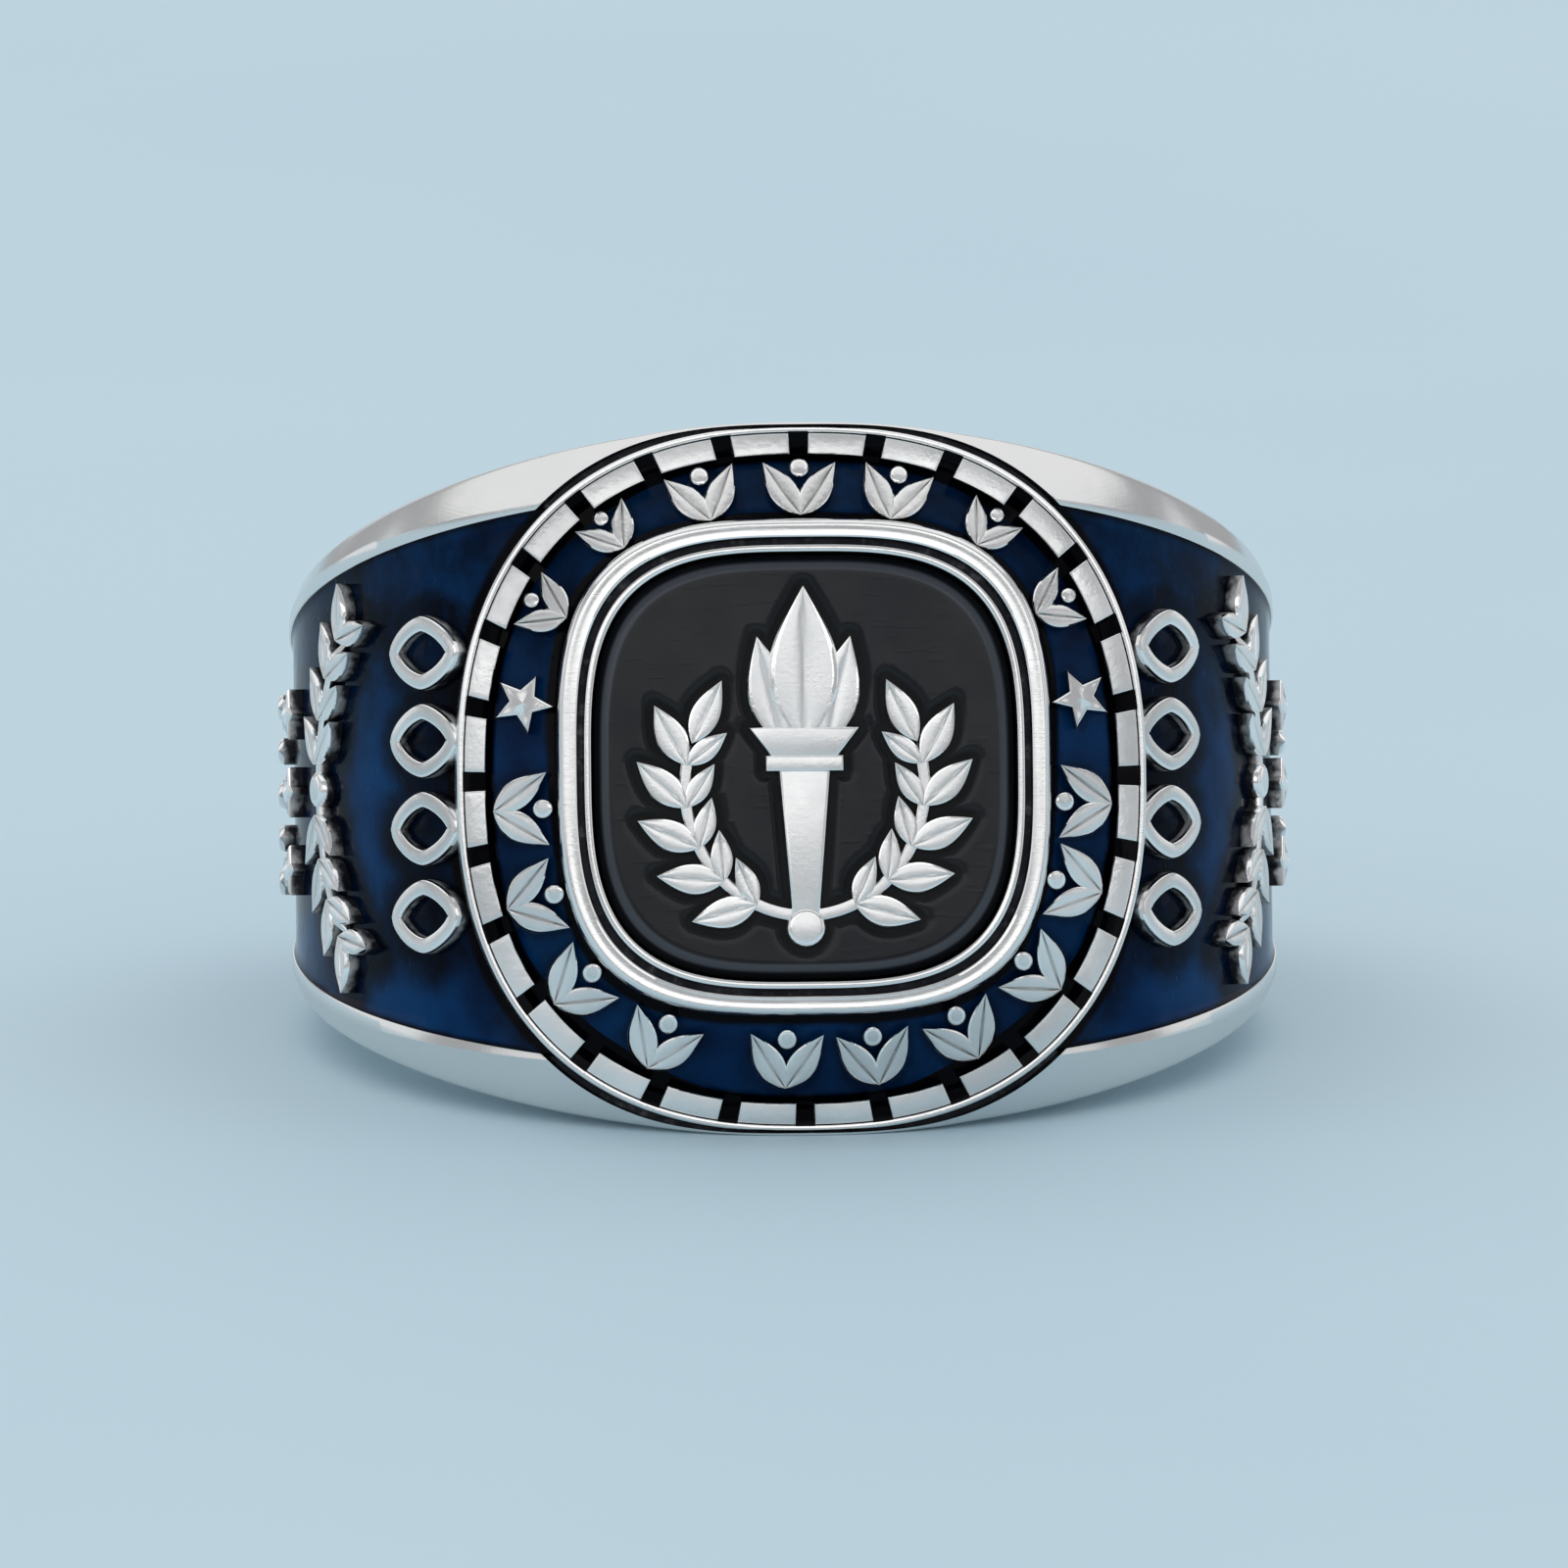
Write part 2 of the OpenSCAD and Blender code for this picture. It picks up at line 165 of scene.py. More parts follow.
def edges_of(verts: Iterable[Vert]) -> set[bmesh.types.BMEdge]:
    """All edges that touch some vertices."""
    return {e for v in verts for e in v.link_edges}


def faces_of(verts: Iterable[Vert]) -> set[bmesh.types.BMFace]:
    """All faces that touch some vertices."""
    return {f for v in verts for f in v.link_faces}


def verts_in(geom: Iterable[Geom]) -> list[Vert]:
    """The vertices among the parts that an operator gives back."""
    return [g for g in geom if isinstance(g, Vert)]


def search_tree(points: Sequence[Vector]) -> KDTree:
    """Sorts points, so that the nearest one is found quickly.

    Args:
        points: The points.

    Returns:
        The tree to search.
    """
    tree = KDTree(len(points))
    for k, point in enumerate(points):
        tree.insert(point, k)
    tree.balance()
    return tree


@dataclass(frozen=True)
class RingForm:
    """Sizes in mm that all sub-assemblies share, and the curves that follow from them.

    Attributes:
        finger_r: Radius of the finger hole.
        shank_r: Radius of the shank's outside round its own centre line.
        shank_lead: How far that line lies in front of the finger hole's axis.
        ball_r: Radius of the ball that rounds the rails off.
        ball_lead: How far the ball's centre lies in front of the axis.
        back_draw: How much narrower the ball is drawn behind its centre.
        face_half: Half height of the ring at the face.
        back_half: Half height of the ring at the back.
        sweep_r: Radius of the swept sides between the two.
        panel_half: Half height of the side panels beside the axis.
        panel_taper: How much a panel's half height falls along Y.
        panel_turn: Y of the place where a panel starts to close.
        panel_end: Length of its round end along Y.
        enamel_dip: How far the side enamel lies under the silver.
        oval_half_w: Half width of the bezel's oval.
        oval_half_h: Half height of the bezel's oval.
        oval_power: Squareness of the oval, 2 for an ellipse.
        border_w: Width of the notched border with its rim.
        border_rim: Width of the plain rim.
        border_top: Height of the border.
        band_high: Height of the band's enamel at the frame's side.
        band_fall: Fall of the band for each mm outwards.
        frame_half_w: Half width of the cushion frame.
        frame_half_h: Half height of the cushion frame.
        frame_power: Squareness of the cushion.
        cushion_up: How far the cushion's middle lies above the oval's.
        rim_top: Height of the cushion frame.
        table_top: Height of the tablet's table.
    """

    finger_r: float = 9.9
    shank_r: float = 12.7
    shank_lead: float = 1.1
    ball_r: float = 13.5
    ball_lead: float = 2.5
    back_draw: float = 0.95
    face_half: float = 9.02
    back_half: float = 3.05
    sweep_r: float = 66.0
    panel_half: float = 3.82
    panel_taper: float = 0.255
    panel_turn: float = 4.0
    panel_end: float = 2.2
    enamel_dip: float = 0.1
    oval_half_w: float = 8.71
    oval_half_h: float = 8.92
    oval_power: float = 2.42
    border_w: float = 0.72
    border_rim: float = 0.18
    border_top: float = 12.583
    band_high: float = 13.363
    band_fall: float = 0.56
    frame_half_w: float = 6.22
    frame_half_h: float = 6.26
    frame_power: float = 3.2
    cushion_up: float = 0.26
    rim_top: float = 14.303
    table_top: float = 14.083

    @property
    def front_y(self) -> float:
        """Y of the lower front corner that the ring rests on."""
        return -self.ball_lead - math.sqrt(self.ball_r**2 - self.face_half**2)

    @property
    def back_y(self) -> float:
        """Y of the lower back corner that the ring rests on."""
        drawn = self.ball_r + self.back_draw
        return -self.ball_lead + math.sqrt(drawn**2 - (self.back_half + self.back_draw) ** 2)

    @property
    def tilt(self) -> float:
        """Angle in radians by which the finger hole leans back."""
        return math.atan((self.face_half - self.back_half) / (self.back_y - self.front_y))

    def at(self, phi: float, rho: float, z: float) -> Vector:
        """Finds a point on the shank.

        Args:
            phi: Angle in radians from the face.
            rho: Distance from the shank's own centre line.
            z: Height along the finger.

        Returns:
            The point in the ring's own frame.
        """
        return Vector((rho * math.sin(phi), -self.shank_lead - rho * math.cos(phi), z))

    def side_z(self, y: float) -> float:
        """Finds the half height of the swept sides.

        Args:
            y: The place along Y.

        Returns:
            The half height there.
        """
        run, drop = self.back_y - self.front_y, self.face_half - self.back_half
        off = math.sqrt(self.sweep_r**2 - (run**2 + drop**2) / 4)
        centre_y = (self.front_y + self.back_y) / 2 + off * math.sin(self.tilt)
        centre_z = (self.face_half + self.back_half) / 2 + off * math.cos(self.tilt)
        return centre_z - math.sqrt(self.sweep_r**2 - (y - centre_y) ** 2)

    def bore_rho(self, phi: float) -> float:
        """Radius of the finger hole as seen from the shank's own centre."""
        c = self.shank_lead * math.cos(phi)
        return -c + math.sqrt(c * c + self.finger_r**2 - self.shank_lead**2)

    def outside(self, phi: float, z: float) -> float:
        """Finds the shank's outside: its round, or the ball where that lies lower.

        Args:
            phi: Angle in radians from the face.
            z: Height along the finger.

        Returns:
            The distance from the shank's own centre line.
        """
        ahead = self.ball_lead - self.shank_lead
        s, c = math.sin(phi), math.cos(phi)
        if self.shank_r * c > ahead:
            ball = ahead * c + math.sqrt((ahead * c) ** 2 - ahead**2 + self.ball_r**2 - z * z)
            return min(self.shank_r, ball)
        drawn = self.ball_r + self.back_draw

        def in_ball(rho: float) -> bool:
            """Whether a radius stays inside the drawn-in back of the ball."""
            reach = math.sqrt(drawn**2 - (ahead - rho * c) ** 2) - self.back_draw
            return (rho * s) ** 2 + z * z <= reach * reach

        return bisect(CORE_R, self.shank_r, in_ball)[1]

    def panel_edge(self, phi: float) -> float:
        """Finds a side panel's half height.

        Args:
            phi: Angle in radians from the face.

        Returns:
            The half height, and 0 past the panel's round end.
        """
        y = -self.shank_lead - self.shank_r * math.cos(phi)
        if y <= self.panel_turn:
            return self.panel_half - self.panel_taper * y
        share = min(1.0, (y - self.panel_turn) / self.panel_end)
        edge = self.panel_half - self.panel_taper * self.panel_turn
        return edge * math.sqrt(1 - share * share)

    def panel_phi(self, y: float) -> float:
        """Angle from the face of a place along Y on the shank's round."""
        return math.acos(-(y + self.shank_lead) / self.shank_r)

    def oval_share(self, x: float, z: float, grow: float = 0.0) -> float:
        """1 on the oval's outline grown by a margin, less inside it and more outside."""
        w, h = self.oval_half_w + grow, self.oval_half_h + grow
        return (abs(x) / w) ** self.oval_power + (abs(z) / h) ** self.oval_power

    @staticmethod
    def reach(a: float, w: float, h: float, power: float) -> float:
        """Radius at an angle of an oval with two half sizes and a squareness."""
        s, c = abs(math.sin(a)) / w, abs(math.cos(a)) / h
        return 1 / (s**power + c**power) ** (1 / power)

    def on_oval(self, a: float, inset: float, high: float) -> Vector:
        """A point on the bezel's oval, drawn in by an inset, at a height."""
        r = self.reach(a, self.oval_half_w - inset, self.oval_half_h - inset, self.oval_power)
        return Vector((r * math.sin(a), -high, r * math.cos(a)))

    def on_cushion(self, a: float, inset: float, high: float) -> Vector:
        """Finds a point on the cushion's outline.

        Args:
            a: Angle in radians round the face.
            inset: How far the outline is drawn in, down to its middle.
            high: Height over the finger hole's axis.

        Returns:
            The point in the ring's own frame.
        """
        w, h = max(0.0, self.frame_half_w - inset), max(0.0, self.frame_half_h - inset)
        if min(w, h) < 1e-3:
            return Vector((0, -high, self.cushion_up))
        r = self.reach(a, w, h, self.frame_power)
        return Vector((r * math.sin(a), -high, r * math.cos(a) + self.cushion_up))

    def border_reach(self, a: float) -> float:
        """Radius of the border's inner edge."""
        w, h = self.oval_half_w - self.border_w, self.oval_half_h - self.border_w
        return self.reach(a, w, h, self.oval_power)

    def frame_reach(self, a: float) -> float:
        """Radius of the cushion frame's outside, seen from the oval's middle."""
        r = self.reach(a, self.frame_half_w, self.frame_half_h, self.frame_power)
        return r + self.cushion_up * math.cos(a)

    def slope(self, r: float) -> float:
        """Height of the band's enamel at a distance from the oval's middle."""
        return self.band_high + self.band_fall * (self.frame_half_w - r)


@dataclass(frozen=True)
class Seat:
    """How the ring lies on the floor by its own weight."""

    form: RingForm

    def matrix(self) -> Matrix:
        """Works out the ring's place from the two corners that it rests on.

        Returns:
            What turns the ring's own frame in mm into the row frame in metres.
        """
        f = self.form
        tilt = f.tilt
        drop = f.face_half * math.cos(tilt) + f.front_y * math.sin(tilt)
        front = -f.rim_top * math.cos(tilt) - f.frame_half_w * math.sin(tilt)
        back = f.back_y * math.cos(tilt) + f.back_half * math.sin(tilt)
        lift = Matrix.Translation((0, -(front + back) / 2, drop))
        return Matrix.Scale(MM, 4) @ lift @ Matrix.Rotation(-tilt, 4, "X")


class Bench:
    """Short ways to add and join the nodes of one material."""

    def __init__(self, name: str) -> None:
        """Starts a material that holds only its shader.

        Args:
            name: The material's name.
        """
        self.material = bpy.data.materials.new(name)
        self.material.use_nodes = True
        self.tree = self.material.node_tree
        self.shader = self.tree.nodes["Principled BSDF"]
        coords = self.tree.nodes.new("ShaderNodeTexCoord")
        self.place = coords.outputs["Object"]

    def put(self, name: str, value: float) -> None:
        """Sets a number on the shader's own socket."""
        self.shader.inputs[name].default_value = value

    def join(self, source: Socket, name: str) -> None:
        """Joins a node's output to one of the shader's inputs."""
        self.tree.links.new(source, self.shader.inputs[name])

    def noise(
        self,
        scale: float,
        detail: float = 3.0,
        rough: float = 0.55,
        stretch: tuple[float, float, float] = (1, 1, 1),
        turn: tuple[float, float, float] = (0, 0, 0),
    ) -> Socket:
        """Adds a noise pattern in object coordinates.

        Args:
            scale: Waves per metre.
            detail: Number of octaves.
            rough: Share of the finer octaves.
            stretch: Extra scale along each axis.
            turn: Turn of the pattern in radians.

        Returns:
            The socket with the pattern's value.
        """
        mapping = self.tree.nodes.new("ShaderNodeMapping")
        mapping.inputs["Scale"].default_value = stretch
        mapping.inputs["Rotation"].default_value = turn
        self.tree.links.new(self.place, mapping.inputs["Vector"])
        node = self.tree.nodes.new("ShaderNodeTexNoise")
        node.inputs["Scale"].default_value = scale
        node.inputs["Detail"].default_value = detail
        node.inputs["Roughness"].default_value = rough
        self.tree.links.new(mapping.outputs["Vector"], node.inputs["Vector"])
        return node.outputs["Fac"]

    def span(
        self, source: Socket, start: float, stop: float, low: float = 0.0, high: float = 1.0
    ) -> Socket:
        """Maps one range of values smoothly to another.

        Args:
            source: The values.
            start: Value that is mapped to the low one, as all under it are.
            stop: Value that is mapped to the high one, as all over it are.
            low: The low value.
            high: The high value.

        Returns:
            The socket with the mapped values.
        """
        node = self.tree.nodes.new("ShaderNodeMapRange")
        node.interpolation_type = "SMOOTHSTEP"
        node.inputs["From Min"].default_value = start
        node.inputs["From Max"].default_value = stop
        node.inputs["To Min"].default_value = low
        node.inputs["To Max"].default_value = high
        self.tree.links.new(source, node.inputs["Value"])
        return node.outputs["Result"]

    def sum(self, a: Socket, b: Socket, work: str = "ADD") -> Socket:
        """Adds two values, or joins them by another kind of sum.

        Args:
            a: The first value.
            b: The second value.
            work: The kind of sum.

        Returns:
            The socket with the sum.
        """
        node = self.tree.nodes.new("ShaderNodeMath")
        node.operation = work
        self.tree.links.new(a, node.inputs[0])
        self.tree.links.new(b, node.inputs[1])
        return node.outputs[0]

    def blend(self, share: Socket, first: Colour | Socket, second: Colour | Socket) -> Socket:
        """Blends two colours by a share.

        Args:
            share: 0 for the first colour and 1 for the second.
            first: A colour or a socket that carries one.
            second: A colour or a socket that carries one.

        Returns:
            The socket with the blended colour.
        """
        node = self.tree.nodes.new("ShaderNodeMix")
        node.data_type = "RGBA"
        self.tree.links.new(share, node.inputs[0])
        for value, socket in ((first, node.inputs[6]), (second, node.inputs[7])):
            if isinstance(value, tuple):
                socket.default_value = (*value, 1.0)
            else:
                self.tree.links.new(value, socket)
        return node.outputs[2]

    def mark(self, name: str) -> Socket:
        """Reads a value that the mesh carries at its vertices.

        Args:
            name: The value's name.

        Returns:
            The socket with the value.
        """
        node = self.tree.nodes.new("ShaderNodeAttribute")
        node.attribute_name = name
        return node.outputs["Fac"]

    def relief(
        self, height: Socket, depth: float, strength: float = 1.0, under: Socket | None = None
    ) -> Socket:
        """Adds a bump of a real depth.

        Args:
            height: The bump's pattern.
            depth: Its depth in metres.
            strength: Its share.
            under: Another bump that it lies on.

        Returns:
            The socket with the bent normal.
        """
        node = self.tree.nodes.new("ShaderNodeBump")
        node.inputs["Distance"].default_value = depth
        node.inputs["Strength"].default_value = strength
        self.tree.links.new(height, node.inputs["Height"])
        if under is not None:
            self.tree.links.new(under, node.inputs["Normal"])
        return node.outputs["Normal"]


@dataclass(frozen=True)
class SilverFinish:
    """One state of the cast silver, from mirror polish to a sandblasted satin.

    Attributes:
        name: The material's name.
        bright: Colour of the cleaner spots.
        dull: Colour of the duller spots.
        rough: Least and greatest roughness.
        grain_depth: Depth of the cast grain in metres.
        scratch_depth: Depth of the fine scratches in metres, 0 for none.
        grain: Waves of the grain per metre.
    """

    name: str
    bright: Colour
    dull: Colour
    rough: tuple[float, float]
    grain_depth: float
    scratch_depth: float = 0.0
    grain: float = 6000.0

    def make(self) -> Material:
        """Builds the material.

        Returns:
            A metal with soft blotches, worn gloss, cast grain and fine scratches.
        """
        bench = Bench(self.name)
        bench.put("Metallic", 1.0)
        blotch = bench.span(bench.noise(210, 4), 0.35, 0.7)
        bench.join(bench.blend(blotch, self.bright, self.dull), "Base Color")
        bench.join(bench.span(bench.noise(800, 5, 0.6), 0.3, 0.75, *self.rough), "Roughness")
        normal = bench.relief(bench.noise(self.grain, 3, 0.6), self.grain_depth)
        if self.scratch_depth > 0:
            fine = bench.noise(900, 2, 0.5, stretch=(1, 1, 26), turn=(0.3, 0.1, 0))
            cross = bench.noise(700, 2, 0.5, stretch=(22, 1, 1), turn=(0.2, 0, 0.6))
            both = bench.sum(
                bench.span(fine, 0.58, 0.68), bench.span(cross, 0.6, 0.7), "MAXIMUM"
            )
            normal = bench.relief(both, self.scratch_depth, under=normal)
        bench.join(normal, "Normal")
        return bench.material


@dataclass(frozen=True)
class OxideFinish:
    """Blackened silver at the foot of the relief and in the grooves.

    Attributes:
        name: The material's name.
        black: Colour of the patina.
        grey: Colour of its rubbed spots.
        silver: Colour of the silver that shows near the top of a wall.
        metal: Share of metal in it.
        grain_depth: Depth of the grain in metres.
    """

    name: str = "antiqued_recess"
    black: Colour = (0.012, 0.013, 0.018)
    grey: Colour = (0.09, 0.09, 0.095)
    silver: Colour = (0.62, 0.62, 0.62)
    metal: float = 0.7
    grain_depth: float = 0.00002

    def make(self) -> Material:
        """Builds the material.

        Returns:
            A dark half-metal with a few rubbed spots.
        """
        bench = Bench(self.name)
        bench.put("Metallic", self.metal)
        rubbed = bench.span(bench.noise(2600, 4, 0.6), 0.52, 0.75)
        patina = bench.blend(rubbed, self.black, self.grey)
        ragged = bench.span(bench.noise(1700, 3), 0.3, 0.7, -0.2, 0.2)
        bright = bench.span(bench.sum(bench.mark("rise"), ragged), 0.5, 0.95)
        bench.join(bench.blend(bright, patina, self.silver), "Base Color")
        bench.join(bench.span(bench.noise(1500, 3), 0.3, 0.7, 0.35, 0.6), "Roughness")
        bench.join(bench.relief(bench.noise(7000, 3), self.grain_depth), "Normal")
        return bench.material


@dataclass(frozen=True)
class EnamelFinish:
    """Fired enamel, with painted shade where it meets the relief.

    Attributes:
        name: The material's name.
        lit: Colour of the brighter clouds.
        deep: Colour of the darker clouds.
        foot: Colour of the painted shade along the relief, the edges and the bezel.
        rough: Least and greatest roughness.
        specular: Strength of the mirror image in it.
        wave_depth: Depth of the soft waves in metres.
        pit_depth: Depth of the pinholes in metres.
    """

    name: str
    lit: Colour
    deep: Colour
    foot: Colour = (0.0006, 0.0008, 0.002)
    rough: tuple[float, float] = (0.07, 0.16)
    specular: float = 0.06
    wave_depth: float = 0.000012
    pit_depth: float = 0.000006

    def make(self) -> Material:
        """Builds the material.

        Returns:
            A glossy coat with soft clouds, an orange-peel skin and pinholes.
        """
        bench = Bench(self.name)
        cloud = bench.span(bench.noise(330, 2), 0.3, 0.75)
        blue = bench.blend(cloud, self.lit, self.deep)
        ragged = bench.span(bench.noise(1100, 3, 0.6), 0.3, 0.7, -0.09, 0.09)
        # Painted shade: the coat turns to the foot colour where the mesh's shade mark is high.
        near = bench.span(bench.sum(bench.mark("shade"), ragged), 0.08, 0.92)
        bench.join(bench.blend(near, blue, self.foot), "Base Color")
        bench.join(bench.span(bench.noise(1100, 4), 0.3, 0.7, *self.rough), "Roughness")
        bench.put("Specular IOR Level", self.specular)
        skin = bench.relief(bench.noise(950, 2, 0.45), self.wave_depth)
        pits = bench.span(bench.noise(5200, 1, 0.3), 0.22, 0.3)
        bench.join(bench.relief(pits, self.pit_depth, under=skin), "Normal")
        return bench.material


@dataclass(frozen=True)
class StoneFinish:
    """Polished black onyx with faint grey clouds.

    Attributes:
        name: The material's name.
        lit: Colour of the brighter clouds.
        deep: Colour of the darker clouds.
        foot: Colour of the painted shadow in the trench round the inlay.
        bevel_glint: Colour of the painted glint along the bevel's upper edge.
        rough: Least and greatest roughness of the polish.
        matt: What the trench adds to the roughness.
        specular: Strength of the mirror image in it.
        wave_depth: Depth of the soft waves in metres.
        scratch_depth: Depth of the polishing lines in metres.
    """

    name: str = "black_onyx"
    lit: Colour = (0.011, 0.012, 0.014)
    deep: Colour = (0.006, 0.0075, 0.011)
    foot: Colour = (0.0008, 0.0008, 0.0012)
    bevel_glint: Colour = (0.06, 0.066, 0.08)
    rough: tuple[float, float] = (0.1, 0.2)
    matt: float = 0.4
    specular: float = 0.27
    wave_depth: float = 0.000008
    scratch_depth: float = 0.0000006

    def make(self) -> Material:
        """Builds the material.

        Returns:
            A dark polished stone with a painted glint on its bevel, and a painted shadow,
            matt, in the trench where the inlay is let in.
        """
        bench = Bench(self.name)
        cloud = bench.span(bench.noise(260, 5, 0.6), 0.38, 0.66)
        table = bench.blend(cloud, self.lit, self.deep)
        # Painted glint: a lighter colour along the bevel's upper edge.
        whole = bench.blend(bench.mark("bevel_glint"), table, self.bevel_glint)
        # Painted shadow in the trench round the inlay, in the foot colour.
        near = bench.mark("shade")
        bench.join(bench.blend(near, whole, self.foot), "Base Color")
        gloss = bench.span(bench.noise(700, 5, 0.6), 0.3, 0.75, *self.rough)
        dull = bench.span(near, 0.1, 0.9, 0.0, self.matt)
        bench.join(bench.sum(gloss, dull), "Roughness")
        bench.put("Specular IOR Level", self.specular)
        skin = bench.relief(bench.noise(420, 2), self.wave_depth)
        lines = bench.noise(800, 2, 0.5, stretch=(1, 24, 1), turn=(0.1, 0.4, 0.2))
        fine = bench.relief(bench.span(lines, 0.6, 0.7), self.scratch_depth, under=skin)
        bench.join(fine, "Normal")
        return bench.material


@dataclass(frozen=True)
class FloorFinish:
    """Plain pale floor.

    Attributes:
        name: The material's name.
        pale: Colour of the lighter clouds.
        soft: Colour of the other clouds.
        rough: Roughness.
        grain_depth: Depth of the grain in metres.
        grain_share: Strength of the grain.
    """

    name: str = "pale_floor"
    pale: Colour = (0.69, 0.885, 0.98)
    soft: Colour = (0.66, 0.865, 0.97)
    rough: float = 0.7
    grain_depth: float = 0.00003
    grain_share: float = 0.3

    def make(self) -> Material:
        """Builds the material.

        Returns:
            A matt ground with faint clouds and a fine grain.
        """
        bench = Bench(self.name)
        cloud = bench.span(bench.noise(14, 3), 0.3, 0.7)
        bench.join(bench.blend(cloud, self.pale, self.soft), "Base Color")
        bench.put("Roughness", self.rough)
        grain = bench.relief(bench.noise(900, 4), self.grain_depth, self.grain_share)
        bench.join(grain, "Normal")
        return bench.material


@dataclass
class Finishes:
    """All materials of the ring, each made once."""

    mirror: Material = field(default_factory=SilverFinish(
        "mirror_silver", bright=(0.815, 0.808, 0.796), dull=(0.765, 0.772, 0.77),
        rough=(0.15, 0.21), grain_depth=0.0000012, scratch_depth=0.0000004,
    ).make)
    inside: Material = field(default_factory=SilverFinish(
        "inside_silver", bright=(0.81, 0.805, 0.795), dull=(0.785, 0.785, 0.78),
        rough=(0.17, 0.22), grain_depth=0.000003, scratch_depth=0.000002,
    ).make)
    rim: Material = field(default_factory=SilverFinish(
        "rim_silver", bright=(0.91, 0.905, 0.895), dull=(0.83, 0.828, 0.822),
        rough=(0.13, 0.22), grain_depth=0.0000015, scratch_depth=0.0000005,
    ).make)
    cast: Material = field(default_factory=SilverFinish(
        "cast_silver", bright=(0.9, 0.895, 0.885), dull=(0.66, 0.66, 0.655),
        rough=(0.26, 0.42), grain_depth=0.000014, grain=5200,
    ).make)
    # Bevels of the relief: their polish, and a colour lighter than the cast tops as a painted
    # highlight.
    edge: Material = field(default_factory=SilverFinish(
        "rubbed_edge_and_highlight", bright=(0.98, 0.975, 0.965), dull=(0.9, 0.895, 0.885),
        rough=(0.1, 0.2), grain_depth=0.000004,
    ).make)
    satin: Material = field(default_factory=SilverFinish(
        "satin_inlay", bright=(0.88, 0.877, 0.87), dull=(0.79, 0.788, 0.78),
        rough=(0.26, 0.36), grain_depth=0.000004, scratch_depth=0.0000006, grain=9000,
    ).make)
    oxide: Material = field(default_factory=OxideFinish().make)
    band_blue: Material = field(default_factory=EnamelFinish(
        "band_enamel_blue", lit=(0.0014, 0.037, 0.125), deep=(0.0009, 0.0145, 0.058),
    ).make)
    panel_blue: Material = field(default_factory=EnamelFinish(
        "panel_enamel_blue", lit=(0.0018, 0.045, 0.148), deep=(0.001, 0.0185, 0.072),
    ).make)
    stone: Material = field(default_factory=StoneFinish().make)


